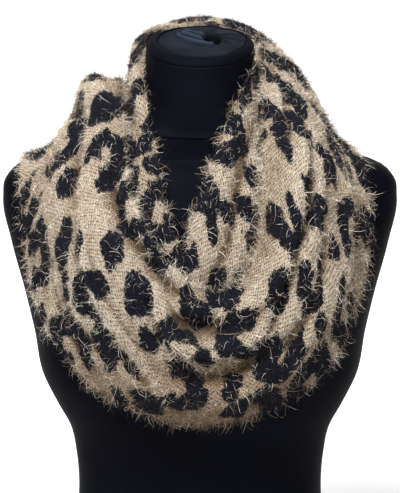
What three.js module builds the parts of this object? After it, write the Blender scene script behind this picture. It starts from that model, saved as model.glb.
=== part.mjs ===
import * as THREE from "three";

// A loop scarf of soft knitted cloth, wound twice round a limbless dress form.
// Millimetres, +Z up, the front of the form faces -Y, the base stands on Z = 0.

// Driving sizes.
const FORM_FLOOR = 0;             // flat base of the dress form
const SEAM_HEIGHT = 621;          // neck seam, at the middle of the neck
const SEAM_SLOPE = 0.4;           // the seam rises towards the back
const NECK_TOP = 684;             // top of the neck block, at the middle
const CAP_TOP = 692;              // top of the gathered cap
const TOP_SLOPE = 0.287;          // the neck top leans to the front
const SEAM_GAP = 0.3;             // gap between neighbouring pieces
const NECK_LIP = 0.5;             // lower edge of the neck block stands proud by this
const CLOTH_HALF = 1.25;          // half of the knitted wall
const CLOTH_SEAT = 1.9;           // middle of the cloth to the form where it lies on it
const CLOTH_SOFT = 2.4;           // how softly it comes to lie on it
const WINDING = 720;              // degrees of turn in the whole loop
const CUT_HALF = 0.08;            // degrees taken off at each end of a stretch
const RIM_DIMPLE = { radius: 15, depth: 6 };

const COLOURS = { cloth: 0xc9ad82, form: 0x15161c, cap: 0x242b3a };

function table(columns, rows) {
  return rows.map((row) => Object.fromEntries(columns.map((name, i) => [name, row[i]])));
}

// The dress form, as level sections from the base to the neck.
const FORM = table(["z", "half", "front", "back", "power"], [
  [0, 160, 86, 100, 2.35],
  [50, 164, 92, 106, 2.35],
  [120, 150, 88, 96, 2.35],
  [185, 131, 80, 80, 2.35],
  [225, 126, 78, 74, 2.35],
  [270, 128, 80, 76, 2.35],
  [300, 134, 87, 79, 2.35],
  [325, 147, 96, 82, 2.35],
  [355, 161, 104, 85, 2.35],
  [400, 169, 109, 89, 2.35],
  [440, 178, 104, 92, 2.35],
  [490, 191, 89, 92, 2.35],
  [536, 199, 73, 84, 2.35],
  [556, 195, 66, 77, 2.35],
  [569, 181, 61, 70, 2.35],
  [580, 150, 58, 64, 2.35],
  [592, 108, 57, 60, 2.3],
  [606, 77, 57, 56, 2.2],
  [622, 61, 57, 53, 2.1],
  [655, 55, 56, 50, 2.05],
  [700, 54, 55, 47, 2.05],
  [730, 54, 55, 47, 2.05],
]);

// The scarf, as sections across the strip along its two turns.
// Rim and hem are the upper and lower edge. Crest and belly say how far the
// cloth stands out from the straight line between them, high up and low down.
const STRIP = table(["turn", "rim", "hem", "crest", "belly"], [
  [-180, [0, 78, 713], [0, 106, 640], 15, 14],
  [-165, [-20, 73, 711], [-27, 101, 637], 13, 12],
  [-150, [-38, 66, 708], [-52, 86, 632], 10, 9],
  [-120, [-56, 38, 700], [-74, 50, 620], 5, 2],
  [-95, [-54, 8, 674], [-84, 4, 604], 7, 0],
  [-75, [-52, -16, 650], [-86, -28, 596], 6, 2],
  [-55, [-45, -38, 614], [-82, -50, 584], 5, 3],
  [-35, [-38, -66, 575], [-74, -72, 550], 5, 4],
  [-15, [-28, -97, 519], [-56, -100, 500], 5, 4],
  [0, [-14, -108, 491], [-12, -114, 446], 5, 4],
  [20, [-6, -96, 525], [44, -108, 458], 8, 3],
  [40, [4, -74, 570], [68, -84, 515], 9, 5],
  [60, [23, -50, 612], [76, -58, 570], 7, 4],
  [80, [42, -26, 648], [80, -32, 600], 5, 3],
  [100, [52, 4, 674], [80, 8, 606], 2, 3],
  [125, [54, 34, 672], [74, 42, 598], 3, 6],
  [150, [36, 66, 652], [56, 72, 566], 5, 14],
  [180, [0, 86, 636], [0, 90, 530], 12, 18],
  [192, [-22, 91, 633], [-30, 90, 530], 10, 18],
  [205, [-42, 98, 630], [-62, 88, 533], 9, 18],
  [218, [-64, 91, 632], [-90, 82, 542], 11, 16],
  [231, [-79, 70, 637], [-118, 70, 553], 14, 12],
  [250, [-84, 36, 651], [-148, 48, 562], 16, -1],
  [270, [-84, 8, 658], [-172, 10, 570], 16, -11],
  [290, [-79, -24, 644], [-181, -34, 558], 20, -12],
  [308, [-76, -52, 612], [-180, -50, 505], 26, 4],
  [325, [-72, -78, 576], [-165, -76, 440], 29, 6],
  [342, [-56, -107, 528], [-120, -108, 377], 29, 11],
  [360, [-10, -130, 468], [-20, -128, 336], 16, 14],
  [376, [32, -129, 466], [64, -124, 345], 16, 12],
  [391, [55, -115, 501], [118, -110, 377], 22, 10],
  [406, [60, -93, 557], [148, -88, 425], 26, 9],
  [421, [63, -62, 614], [162, -68, 480], 25, 7],
  [438, [64, -36, 648], [167, -44, 532], 17, 2],
  [456, [65, -8, 668], [161, -4, 572], 9, -4],
  [474, [61, 22, 688], [144, 42, 568], 12, 6],
  [495, [45, 52, 702], [104, 74, 588], 16, 14],
  [518, [24, 71, 711], [52, 100, 620], 15, 16],
]);

// Folds: where each runs along the turn, and where across the strip.
// Place is 0 at the rim and 1 at the hem, at the start, middle and end of the fold.
const FOLDS = table(
  ["name", "start", "end", "first", "middle", "last", "height", "width", "droop"],
  [
    ["left hump", 240, 304, 0.18, 0.2, 0.18, 6, 24, 0],
    ["left notch", 256, 336, 0.58, 0.32, 0.44, -12, 15, 0],
    ["left crease", 328, 358, 0.38, 0.55, 0.8, -11, 9, 2],
    ["left crease low", 330, 352, 0.73, 0.74, 0.8, -7, 8, 0],
    ["left fold edge", 330, 357, 0.33, 0.5, 0.7, 7, 6, 0],
    ["left low valley", 322, 350, 0.62, 0.83, 0.92, -5, 8, 0],
    ["rope edge", 322, 366, 0.015, 0.01, 0.02, 8, 6, 0],
    ["rope valley", 322, 362, 0.1, 0.11, 0.1, -14, 9, 0],
    ["groove", 349, 362, 0.24, 0.38, 0.56, -13, 8, 0],
    ["groove ridge", 351, 362, 0.14, 0.3, 0.44, 8, 7, 0],
    ["cowl drape", 360, 436, 0.1, 0.14, 0.23, 14, 13, 2],
    ["right crease", 398, 438, 0.29, 0.32, 0.22, -13, 7, 0],
    ["right crease low", 376, 402, 0.44, 0.31, 0.24, -10, 9, 0],
    ["right fold edge", 396, 436, 0.34, 0.37, 0.3, 7, 7, 0],
    ["right fan valley", 408, 462, 0.13, 0.13, 0.09, -6, 6, 0],
    ["right low valley", 374, 414, 0.54, 0.55, 0.48, -7, 9, 0],
    ["right outer valley", 438, 476, 0.56, 0.58, 0.36, -5, 9, 0],
    ["hem lift left", 316, 340, 0.93, 0.96, 0.96, 5, 16, 0],
    ["hem lift right", 382, 410, 0.96, 0.96, 0.92, 5, 16, 0],
    ["pocket", 354, 374, 0.26, 0.26, 0.19, -16, 10, 0],
    ["pocket lip", 350, 386, 0.3, 0.37, 0.25, 12, 8, 4],
    ["patch valley", 354, 382, 0.6, 0.58, 0.44, -9, 10, 2],
    ["low drape", 342, 400, 0.74, 0.74, 0.6, 7, 15, 3],
    ["right panel", 390, 446, 0.66, 0.72, 0.48, 8, 20, 0],
    ["right top line", 432, 462, 0.18, 0.1, 0.06, -5, 6, 0],
    ["inner edge right", 8, 110, 0.1, 0.1, 0.1, 4, 10, 0],
    ["inner valley right", 0, 84, 0.62, 0.45, 0.4, -7, 10, 0],
    ["inner ridge left", -130, -74, 0.14, 0.18, 0.25, 5, 6, 0],
    ["inner valley left", -140, -30, 0.38, 0.42, 0.45, -6, 8, 0],
    ["back upper ridge", -220, -130, 0.3, 0.34, 0.3, 6, 14, 2],
    ["back upper valley", -240, -130, 0.58, 0.62, 0.6, -8, 12, 0],
    ["back lower ridge", 140, 250, 0.34, 0.38, 0.3, 7, 16, 3],
    ["back lower valley", 130, 262, 0.56, 0.62, 0.6, -9, 14, 0],
    ["back hem ridge", 140, 240, 0.82, 0.84, 0.8, 6, 14, 0],
  ],
);

// Stretches of the scarf, each a piece of its own.
const STRETCHES = table(["name", "from", "to", "along", "across"], [
  ["neck_wrap", -110, 110, 50, 13],
  ["back_under", 110, 235, 28, 15],
  ["chest_wrap", 235, 470, 80, 24],
  ["back_over", 470, 610, 28, 13],
]);

// Small vector helpers.
const add = (a, b, k = 1) => [a[0] + b[0] * k, a[1] + b[1] * k, a[2] + b[2] * k];
const sub = (a, b) => [a[0] - b[0], a[1] - b[1], a[2] - b[2]];
const cross = (a, b) => [
  a[1] * b[2] - a[2] * b[1],
  a[2] * b[0] - a[0] * b[2],
  a[0] * b[1] - a[1] * b[0],
];
const length = (a) => Math.hypot(a[0], a[1], a[2]);
const unit = (a) => {
  const size = length(a) + 1e-9;
  return [a[0] / size, a[1] / size, a[2] / size];
};
const clamp = (x, low, high) => Math.min(high, Math.max(low, x));

// Smooth curve through rows of numbers: a cubic piece between each two rows,
// with the slope at a row taken from the rows beside it.
function curve(xs, rows) {
  const width = rows[0].length;
  const slopes = rows.map((row, k) => {
    const before = Math.max(k - 1, 0);
    const after = Math.min(k + 1, rows.length - 1);
    return row.map((value, j) => {
      if (k === 0 || k === rows.length - 1) {
        return (rows[after][j] - rows[before][j]) / (xs[after] - xs[before]);
      }
      const left = xs[k] - xs[before];
      const right = xs[after] - xs[k];
      const leftRate = (value - rows[before][j]) / left;
      const rightRate = (rows[after][j] - value) / right;
      return (rightRate * left + leftRate * right) / (left + right);
    });
  });
  return (x) => {
    let k = 0;
    while (k < xs.length - 2 && x >= xs[k + 1]) k += 1;
    const span = xs[k + 1] - xs[k];
    const s = clamp((x - xs[k]) / span, 0, 1);
    const out = new Array(width);
    for (let j = 0; j < width; j += 1) {
      out[j] = rows[k][j] * (2 * s ** 3 - 3 * s ** 2 + 1)
        + slopes[k][j] * span * (s ** 3 - 2 * s ** 2 + s)
        + rows[k + 1][j] * (3 * s ** 2 - 2 * s ** 3)
        + slopes[k + 1][j] * span * (s ** 3 - s ** 2);
    }
    return out;
  };
}

const formCurve = curve(
  FORM.map((row) => row.z),
  FORM.map((row) => [row.half, row.front, row.back, row.power]),
);

// One at the surface, below one inside the form, above one outside.
function formLevel(p) {
  const [half, front, back, power] = formCurve(p[2]);
  const depth = p[1] < 0 ? front : back;
  return (Math.abs(p[0] / half) ** power + Math.abs(p[1] / depth) ** power) ** (1 / power);
}

function formGap(p) {
  const step = 0.5;
  const gradient = [0, 1, 2].map((axis) => {
    const ahead = [...p];
    const behind = [...p];
    ahead[axis] += step;
    behind[axis] -= step;
    return (formLevel(ahead) - formLevel(behind)) / (2 * step);
  });
  return { distance: (formLevel(p) - 1) / (length(gradient) + 1e-9), outward: unit(gradient) };
}

// Cloth near the form is eased outwards so that it lies on it and never sinks in.
function easeOff(start) {
  let p = start;
  if (formLevel(p) > 2.2) return p;
  let gap = formGap(p);
  const excess = (gap.distance - CLOTH_SEAT) / CLOTH_SOFT;
  const wanted = CLOTH_SEAT + CLOTH_SOFT * Math.log1p(Math.exp(clamp(excess, -30, 30)));
  for (let pass = 0; pass < 3; pass += 1) {
    p = add(p, gap.outward, clamp(wanted - gap.distance, -5, 25));
    gap = formGap(p);
  }
  return p;
}

// A point of the form on a ring that leans by slope about the middle of the form.
function ringPoint(angle, middle, slope, spread = 0) {
  const c = Math.cos(angle);
  const s = Math.sin(angle);
  let z = middle;
  let x = 0;
  let y = 0;
  for (let pass = 0; pass < 12; pass += 1) {
    const [half, front, back, power] = formCurve(z);
    const depth = s < 0 ? front : back;
    x = (half + spread) * Math.sign(c) * Math.abs(c) ** (2 / power);
    y = (depth + spread) * Math.sign(s) * Math.abs(s) ** (2 / power);
    z = middle + slope * y;
  }
  return [x, y, z];
}

const endRows = 3;
const stripRows = [
  ...STRIP.slice(-endRows).map((row) => ({ ...row, turn: row.turn - WINDING })),
  ...STRIP,
  ...STRIP.slice(0, endRows).map((row) => ({ ...row, turn: row.turn + WINDING })),
];
const stripCurve = curve(
  stripRows.map((row) => row.turn),
  stripRows.map((row) => [...row.rim, ...row.hem, row.crest, row.belly]),
);

function stripAt(turn) {
  const wrapped = ((((turn + 180) % WINDING) + WINDING) % WINDING) - 180;
  const r = stripCurve(wrapped);
  return { rim: r.slice(0, 3), hem: r.slice(3, 6), crest: r[6], belly: r[7] };
}

function foldsAt(turn, place, width) {
  let height = 0;
  let droop = 0;
  for (const fold of FOLDS) {
    const middle = (fold.start + fold.end) / 2;
    const near = ((((turn - middle + 360) % WINDING) + WINDING) % WINDING) - 360 + middle;
    const u = clamp((near - fold.start) / (fold.end - fold.start), 0, 1);
    const pull = 2 * fold.middle - (fold.first + fold.last) / 2;
    const centre = fold.first * (1 - u) ** 2 + 2 * u * (1 - u) * pull + fold.last * u * u;
    const soft = (fold.end - fold.start) * 0.32;
    const ease = clamp((near - fold.start) / soft, 0, 1) * clamp((fold.end - near) / soft, 0, 1);
    const strength = ease * ease * (3 - 2 * ease);
    const share = strength * Math.exp(-((((place - centre) * width) / fold.width) ** 2));
    height += fold.height * share;
    droop += fold.droop * share;
  }
  return { height, droop };
}

function clothPoint(turn, place) {
  const here = stripAt(turn);
  const fall = sub(here.hem, here.rim);
  const ruled = (at) => {
    const row = stripAt(at);
    return add(row.rim, sub(row.hem, row.rim), place);
  };
  const along = sub(ruled(turn + 0.5), ruled(turn - 0.5));
  const outward = unit(cross(fall, along));
  const high = 6.75 * place * (1 - place) ** 2;
  const low = 6.75 * place ** 2 * (1 - place);
  const { height, droop } = foldsAt(turn, place, length(fall));
  const raised = add(here.rim, fall, place + droop / length(fall));
  return easeOff(add(raised, outward, here.crest * high + here.belly * low + height));
}

function clothNormal(turn, place) {
  const across = sub(clothPoint(turn, place + 0.01), clothPoint(turn, place - 0.01));
  const along = sub(clothPoint(turn + 0.6, place), clothPoint(turn - 0.6, place));
  return unit(cross(across, along));
}

// A named piece with its own material.
function solid(name, points, faces, colour, roughness) {
  const geometry = new THREE.BufferGeometry();
  geometry.setAttribute("position", new THREE.Float32BufferAttribute(points.flat(), 3));
  geometry.setIndex(faces.flat());
  geometry.computeVertexNormals();
  const material = new THREE.MeshStandardMaterial({ color: colour, roughness, metalness: 0 });
  const mesh = new THREE.Mesh(geometry, material);
  mesh.name = name;
  return mesh;
}

// A knitted sheet: an outer and an inner face joined along all four edges.
function sheet({ name, from, to, along, across }) {
  const points = [];
  const faces = [];
  const row = across + 1;
  const first = from + CUT_HALF;
  const last = to - CUT_HALF;
  for (const side of [1, -1]) {
    for (let i = 0; i <= along; i += 1) {
      for (let j = 0; j <= across; j += 1) {
        const turn = first + ((last - first) * i) / along;
        const place = j / across;
        const middle = clothPoint(turn, place);
        points.push(add(middle, clothNormal(turn, place), side * CLOTH_HALF));
      }
    }
  }
  const back = (along + 1) * row;
  const quad = (a, b, c, d) => faces.push([a, b, c], [a, c, d]);
  for (let i = 0; i < along; i += 1) {
    for (let j = 0; j < across; j += 1) {
      const a = i * row + j;
      quad(a, a + 1, a + row + 1, a + row);
      quad(back + a, back + a + row, back + a + row + 1, back + a + 1);
    }
  }
  for (let i = 0; i < along; i += 1) {
    const a = i * row;
    quad(a, a + row, back + a + row, back + a);
    quad(back + a + across, back + a + row + across, a + row + across, a + across);
  }
  for (let j = 0; j < across; j += 1) {
    const b = along * row + j;
    quad(j, back + j, back + j + 1, j + 1);
    quad(b, b + 1, back + b + 1, back + b);
  }
  return solid(name, points, faces, COLOURS.cloth, 0.95);
}

// A skin over a stack of rings, closed by a point below and a point above.
function stack(name, rings, bottom, top, colour, roughness) {
  const count = rings[0].length;
  const points = [...rings.flat(), bottom, top];
  const faces = [];
  const low = rings.length * count;
  for (let k = 0; k < rings.length - 1; k += 1) {
    for (let j = 0; j < count; j += 1) {
      const next = (j + 1) % count;
      const a = k * count;
      faces.push([a + j, a + next, a + count + next], [a + j, a + count + next, a + count + j]);
    }
  }
  for (let j = 0; j < count; j += 1) {
    const next = (j + 1) % count;
    faces.push([low, next, j]);
    faces.push([low + 1, low - count + j, low - count + next]);
  }
  return solid(name, points, faces, colour, roughness);
}

function ring(middle, slope, count, spread = 0) {
  return Array.from({ length: count }, (_, j) => (
    ringPoint((2 * Math.PI * j) / count, middle, slope, spread)
  ));
}

function dressForm() {
  const around = 40;
  const levels = [0, 50, 105, 160, 205, 245, 285, 312, 340, 375, 415, 455, 495, 525, 545, 560, 571,
    580];
  const bodyRings = levels.map((z) => ring(z, 0, around));
  for (const [middle, slope] of [[588, 0.1], [598, 0.22], [609, 0.33]]) {
    bodyRings.push(ring(middle, slope, around));
  }
  bodyRings.push(ring(SEAM_HEIGHT, SEAM_SLOPE, around));
  const body = stack("form_body", bodyRings, [0, 0, FORM_FLOOR], [0, 0, SEAM_HEIGHT],
    COLOURS.form, 0.75);

  const foot = SEAM_HEIGHT + SEAM_GAP * 1.1;
  const neckRings = [ring(foot, SEAM_SLOPE, around, NECK_LIP)];
  neckRings.push(ring(foot + 2.5, SEAM_SLOPE, around, NECK_LIP));
  neckRings.push(ring(foot + 4.5, SEAM_SLOPE, around));
  for (const share of [0.3, 0.65, 1]) {
    const middle = foot + 4.5 + (NECK_TOP - foot - 4.5) * share;
    neckRings.push(ring(middle, SEAM_SLOPE + (TOP_SLOPE - SEAM_SLOPE) * share, around));
  }
  const neck = stack("form_neck", neckRings, [0, 0, foot], [0, 0, NECK_TOP], COLOURS.form, 0.7);
  return [body, neck, neckCap(around)];
}

// The gathered cap: a rounded slab with a shallow dimple at its middle.
function neckCap(around) {
  const base = NECK_TOP + SEAM_GAP * 1.1;
  const height = CAP_TOP - base;
  const shrink = (points, share, rise) => points.map(([x, y, z]) => [
    x * share, y * share, z + (share - 1) * TOP_SLOPE * y + rise,
  ]);
  const outline = ring(base, TOP_SLOPE, around);
  const rings = [outline, shrink(outline, 1, height * 0.45)];
  for (const [share, rise] of [[0.985, 0.75], [0.93, 0.95], [0.8, 1], [0.5, 0.97]]) {
    rings.push(shrink(outline, share, height * rise));
  }
  const lip = RIM_DIMPLE.radius / 54;
  rings.push(shrink(outline, lip, height - 1));
  rings.push(shrink(outline, lip * 0.5, height - RIM_DIMPLE.depth * 0.8));
  const bottom = [0, 0, base];
  const top = [0, 0, base + height - RIM_DIMPLE.depth];
  return stack("neck_cap", rings, bottom, top, COLOURS.cap, 0.6);
}

const group = new THREE.Group();
group.name = "infinity_scarf";
for (const mesh of [...STRETCHES.map(sheet), ...dressForm()]) group.add(mesh);

export default group;
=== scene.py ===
"""A fuzzy knitted loop scarf with a spotted animal pattern, wound round a limbless dress form.

Lengths are in millimetres until a mesh is made. +Z is up and the front faces -Y.
"""

import logging
import math
from dataclasses import dataclass
from enum import Enum
from typing import Callable, Sequence

import bmesh
import bpy
import numpy as np
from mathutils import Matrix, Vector

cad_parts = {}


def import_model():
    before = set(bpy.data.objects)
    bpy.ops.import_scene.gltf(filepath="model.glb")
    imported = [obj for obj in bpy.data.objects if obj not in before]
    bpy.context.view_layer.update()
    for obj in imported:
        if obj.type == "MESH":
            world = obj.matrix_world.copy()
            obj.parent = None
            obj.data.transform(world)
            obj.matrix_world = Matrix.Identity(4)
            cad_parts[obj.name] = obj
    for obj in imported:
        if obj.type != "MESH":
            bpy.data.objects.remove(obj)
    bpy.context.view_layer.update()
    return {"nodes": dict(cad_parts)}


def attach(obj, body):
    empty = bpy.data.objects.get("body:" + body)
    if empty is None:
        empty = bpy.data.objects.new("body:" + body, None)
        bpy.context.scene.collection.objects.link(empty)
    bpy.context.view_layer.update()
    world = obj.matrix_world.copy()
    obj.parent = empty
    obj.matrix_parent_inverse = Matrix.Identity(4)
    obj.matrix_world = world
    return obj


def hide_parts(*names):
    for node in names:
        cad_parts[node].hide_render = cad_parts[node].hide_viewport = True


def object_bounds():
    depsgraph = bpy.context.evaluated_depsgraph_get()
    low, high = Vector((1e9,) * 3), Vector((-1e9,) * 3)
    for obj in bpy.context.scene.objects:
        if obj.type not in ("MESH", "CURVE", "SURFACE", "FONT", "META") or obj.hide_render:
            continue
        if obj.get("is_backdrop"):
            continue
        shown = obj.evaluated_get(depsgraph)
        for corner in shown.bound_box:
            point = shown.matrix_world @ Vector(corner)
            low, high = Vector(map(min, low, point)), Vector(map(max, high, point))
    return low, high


LOG = logging.getLogger("scarf")
# Metres in a millimetre, and how close points are joined, in metres.
MM = 0.001
MERGE = 1e-6
Array = np.ndarray
Colour = tuple[float, ...] | bpy.types.NodeSocket


# Curves and arrays


class Curve:
    """A smooth curve through rows of numbers: one cubic between each two rows."""

    def __init__(self, knots: Sequence[float], rows: Sequence[Sequence[float]]) -> None:
        """Works out the slope at each row from the rows beside it.

        Args:
            knots: where each row stands, in rising order.
            rows: the numbers at each knot.
        """
        self.knots = np.asarray(knots, float)
        self.rows = np.asarray(rows, float)
        gaps = np.diff(self.knots)[:, None]
        rates = np.diff(self.rows, axis=0) / gaps
        self.slopes = np.empty_like(self.rows)
        self.slopes[1:-1] = (rates[1:] * gaps[:-1] + rates[:-1] * gaps[1:]) / (gaps[1:] + gaps[:-1])
        self.slopes[0], self.slopes[-1] = rates[0], rates[-1]

    def at(self, x: Array) -> Array:
        """Rows at x, by the cubic whose ends and end slopes are those of the two rows beside x.

        Args:
            x: places along the curve, of any shape.

        Returns:
            An array with one more axis than x, which holds the row's numbers.
        """
        x = np.asarray(x, float)
        k = np.clip(np.searchsorted(self.knots, x, side="right") - 1, 0, len(self.knots) - 2)
        span = (self.knots[k + 1] - self.knots[k])[..., None]
        s = np.clip((x - self.knots[k])[..., None] / span, 0, 1)
        return (
            self.rows[k] * (2 * s**3 - 3 * s**2 + 1)
            + self.slopes[k] * span * (s**3 - 2 * s**2 + s)
            + self.rows[k + 1] * (3 * s**2 - 2 * s**3)
            + self.slopes[k + 1] * span * (s**3 - s**2)
        )


def unit(v: Array) -> Array:
    """The vectors v, each made one long."""
    return v / (np.linalg.norm(v, axis=-1, keepdims=True) + 1e-9)


def smooth_step(x: Array) -> Array:
    """Zero below 0, one above 1, and a soft rise between."""
    x = np.clip(x, 0, 1)
    return x * x * (3 - 2 * x)


def between(corner: Callable[[int, int], Array], i: Array, j: Array) -> Array:
    """Mixes the values at four corners by how far a place lies from the first of them.

    Args:
        corner: gives the values so many steps further in each direction, 0 or 1.
        i: share of the way in the first direction.
        j: share of the way in the second.

    Returns:
        The values between the corners.
    """
    low = corner(0, 0) * (1 - i) + corner(1, 0) * i
    high = corner(0, 1) * (1 - i) + corner(1, 1) * i
    return low * (1 - j) + high * j


# Sizes and tables


@dataclass(frozen=True)
class FormSection:
    """A level section of the dress form: half width, depth to front and back, and squareness."""

    z: float
    half: float
    front: float
    back: float
    power: float


FORM_SECTIONS = tuple(
    FormSection(*row)
    for row in (
        (0, 160, 86, 100, 2.35),
        (50, 164, 92, 106, 2.35),
        (120, 150, 88, 96, 2.35),
        (185, 131, 80, 80, 2.35),
        (225, 126, 78, 74, 2.35),
        (270, 128, 80, 76, 2.35),
        (300, 134, 87, 79, 2.35),
        (325, 147, 96, 82, 2.35),
        (355, 161, 104, 85, 2.35),
        (400, 169, 109, 89, 2.35),
        (440, 178, 104, 92, 2.35),
        (490, 191, 89, 92, 2.35),
        (536, 199, 73, 84, 2.35),
        (556, 195, 66, 77, 2.35),
        (569, 181, 61, 70, 2.35),
        (580, 150, 58, 64, 2.35),
        (592, 108, 57, 60, 2.3),
        (606, 77, 57, 56, 2.2),
        (622, 61, 57, 53, 2.1),
        (655, 55, 56, 50, 2.05),
        (700, 54, 55, 47, 2.05),
        (730, 54, 55, 47, 2.05),
    )
)


@dataclass(frozen=True)
class StripSection:
    """A section across the strip: its rim and hem, and how far it stands out between them."""

    turn: float
    rim: tuple[float, float, float]
    hem: tuple[float, float, float]
    crest: float
    belly: float


STRIP_SECTIONS = tuple(
    StripSection(*row)
    for row in (
        (-180, (0, 78, 713), (0, 106, 640), 15, 14),
        (-165, (-20, 73, 711), (-27, 101, 637), 13, 12),
        (-150, (-38, 66, 708), (-52, 86, 632), 10, 9),
        (-120, (-56, 38, 700), (-74, 50, 620), 5, 2),
        (-95, (-54, 8, 674), (-84, 4, 604), 7, 0),
        (-75, (-52, -16, 650), (-86, -28, 596), 6, 2),
        (-55, (-45, -38, 614), (-82, -50, 584), 5, 3),
        (-35, (-38, -66, 575), (-74, -72, 550), 5, 4),
        (-15, (-28, -97, 519), (-56, -100, 500), 5, 4),
        (0, (-14, -108, 491), (-12, -114, 446), 5, 4),
        (20, (-6, -96, 525), (44, -108, 458), 8, 3),
        (40, (4, -74, 570), (68, -84, 515), 9, 5),
        (60, (23, -50, 612), (76, -58, 570), 7, 4),
        (80, (42, -26, 648), (80, -32, 600), 5, 3),
        (100, (52, 4, 674), (80, 8, 606), 2, 3),
        (125, (54, 34, 672), (74, 42, 598), 3, 6),
        (150, (36, 66, 652), (56, 72, 566), 5, 14),
        (180, (0, 86, 636), (0, 90, 530), 12, 18),
        (192, (-22, 91, 633), (-30, 90, 530), 10, 18),
        (205, (-42, 98, 630), (-62, 88, 533), 9, 18),
        (218, (-64, 91, 632), (-90, 82, 542), 11, 16),
        (231, (-79, 70, 637), (-118, 70, 553), 14, 12),
        (250, (-84, 36, 651), (-148, 48, 562), 16, -1),
        (270, (-84, 8, 658), (-172, 10, 570), 16, -11),
        (290, (-79, -24, 644), (-181, -34, 558), 20, -12),
        (308, (-76, -52, 612), (-180, -50, 505), 26, 4),
        (325, (-72, -78, 576), (-165, -76, 440), 29, 6),
        (342, (-56, -107, 528), (-120, -108, 377), 29, 11),
        (360, (-10, -130, 468), (-20, -128, 336), 16, 14),
        (376, (32, -129, 466), (64, -124, 345), 16, 12),
        (391, (55, -115, 501), (118, -110, 377), 22, 10),
        (406, (60, -93, 557), (148, -88, 425), 26, 9),
        (421, (63, -62, 614), (162, -68, 480), 25, 7),
        (438, (64, -36, 648), (167, -44, 532), 17, 2),
        (456, (65, -8, 668), (161, -4, 572), 9, -4),
        (474, (61, 22, 688), (144, 42, 568), 12, 6),
        (495, (45, 52, 702), (104, 74, 588), 16, 14),
        (518, (24, 71, 711), (52, 100, 620), 15, 16),
    )
)


@dataclass(frozen=True)
class Fold:
    """A soft ridge or valley that runs along the strip between two degrees of turn.

    first, middle and last are its place across the strip, 0 at the rim and 1 at the hem. height
    raises the cloth, droop moves it towards the hem, and width is how far across both reach, in
    millimetres. The folds that stay at 0 or 1 bend the rim or the hem. Those, and the crest of
    the back roll, are only in this file: the solids go without them.
    """

    name: str
    start: float
    end: float
    first: float
    middle: float
    last: float
    height: float
    width: float
    droop: float


FOLDS = tuple(
    Fold(*row)
    for row in (
        ("left hump", 240, 304, 0.18, 0.2, 0.18, 6, 24, 0),
        ("left notch", 256, 336, 0.58, 0.32, 0.44, -12, 15, 0),
        ("left crease", 328, 358, 0.38, 0.55, 0.8, -11, 9, 2),
        ("left crease low", 330, 352, 0.73, 0.74, 0.8, -7, 8, 0),
        ("left fold edge", 330, 357, 0.33, 0.5, 0.7, 7, 6, 0),
        ("left low valley", 322, 350, 0.62, 0.83, 0.92, -5, 8, 0),
        ("rope edge", 322, 366, 0.015, 0.01, 0.02, 8, 6, 0),
        ("rope valley", 322, 362, 0.1, 0.11, 0.1, -14, 9, 0),
        ("groove", 349, 362, 0.24, 0.38, 0.56, -13, 8, 0),
        ("groove ridge", 351, 362, 0.14, 0.3, 0.44, 8, 7, 0),
        ("cowl drape", 360, 436, 0.1, 0.14, 0.23, 14, 13, 2),
        ("right crease", 398, 438, 0.29, 0.32, 0.22, -13, 7, 0),
        ("right crease low", 376, 402, 0.44, 0.31, 0.24, -10, 9, 0),
        ("right fold edge", 396, 436, 0.34, 0.37, 0.3, 7, 7, 0),
        ("right fan valley", 408, 462, 0.13, 0.13, 0.09, -6, 6, 0),
        ("right low valley", 374, 414, 0.54, 0.55, 0.48, -7, 9, 0),
        ("right outer valley", 438, 476, 0.56, 0.58, 0.36, -5, 9, 0),
        ("hem lift left", 316, 340, 0.93, 0.96, 0.96, 5, 16, 0),
        ("hem lift right", 382, 410, 0.96, 0.96, 0.92, 5, 16, 0),
        ("pocket", 354, 374, 0.26, 0.26, 0.19, -16, 10, 0),
        ("pocket lip", 350, 386, 0.3, 0.37, 0.25, 12, 8, 4),
        ("patch valley", 354, 382, 0.6, 0.58, 0.44, -9, 10, 2),
        ("low drape", 342, 400, 0.74, 0.74, 0.6, 7, 15, 3),
        ("right panel", 390, 446, 0.66, 0.72, 0.48, 8, 20, 0),
        ("right top line", 432, 462, 0.18, 0.1, 0.06, -5, 6, 0),
        ("inner edge right", 8, 110, 0.1, 0.1, 0.1, 4, 10, 0),
        ("inner valley right", 0, 84, 0.62, 0.45, 0.4, -7, 10, 0),
        ("inner ridge left", -130, -74, 0.14, 0.18, 0.25, 5, 6, 0),
        ("inner valley left", -140, -30, 0.38, 0.42, 0.45, -6, 8, 0),
        ("left hump rim", 242, 304, 0.0, 0.0, 0.0, -7, 11, 8),
        ("back roll", -250, -100, 0.0, 0.0, 0.0, -20, 12, 5),
        ("back roll crest", -250, -100, 0.12, 0.12, 0.12, 0, 9, -9),
        ("inner rim left", -96, -8, 0.0, 0.0, 0.0, 0, 12, 3),
        ("left shoulder hem", 258, 330, 1.0, 1.0, 1.0, 0, 40, -7),
        ("left low hem", 306, 352, 1.0, 1.0, 1.0, 0, 34, -9),
        ("right low hem", 370, 432, 1.0, 1.0, 1.0, 0, 30, -4),
        ("inner rim right", 20, 66, 0.0, 0.0, 0.0, 0, 14, 6),
        ("inner rim neck", 62, 118, 0.0, 0.0, 0.0, 0, 14, -9),
        ("right shoulder hem", 428, 484, 1.0, 1.0, 1.0, 0, 44, -14),
        ("back upper ridge", -220, -130, 0.3, 0.34, 0.3, 6, 14, 2),
        ("back upper valley", -240, -130, 0.58, 0.62, 0.6, -8, 12, 0),
        ("back lower ridge", 140, 250, 0.34, 0.38, 0.3, 7, 16, 3),
        ("back lower valley", 130, 262, 0.56, 0.62, 0.6, -9, 14, 0),
        ("back hem ridge", 140, 240, 0.82, 0.84, 0.8, 6, 14, 0),
    )
)


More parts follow.
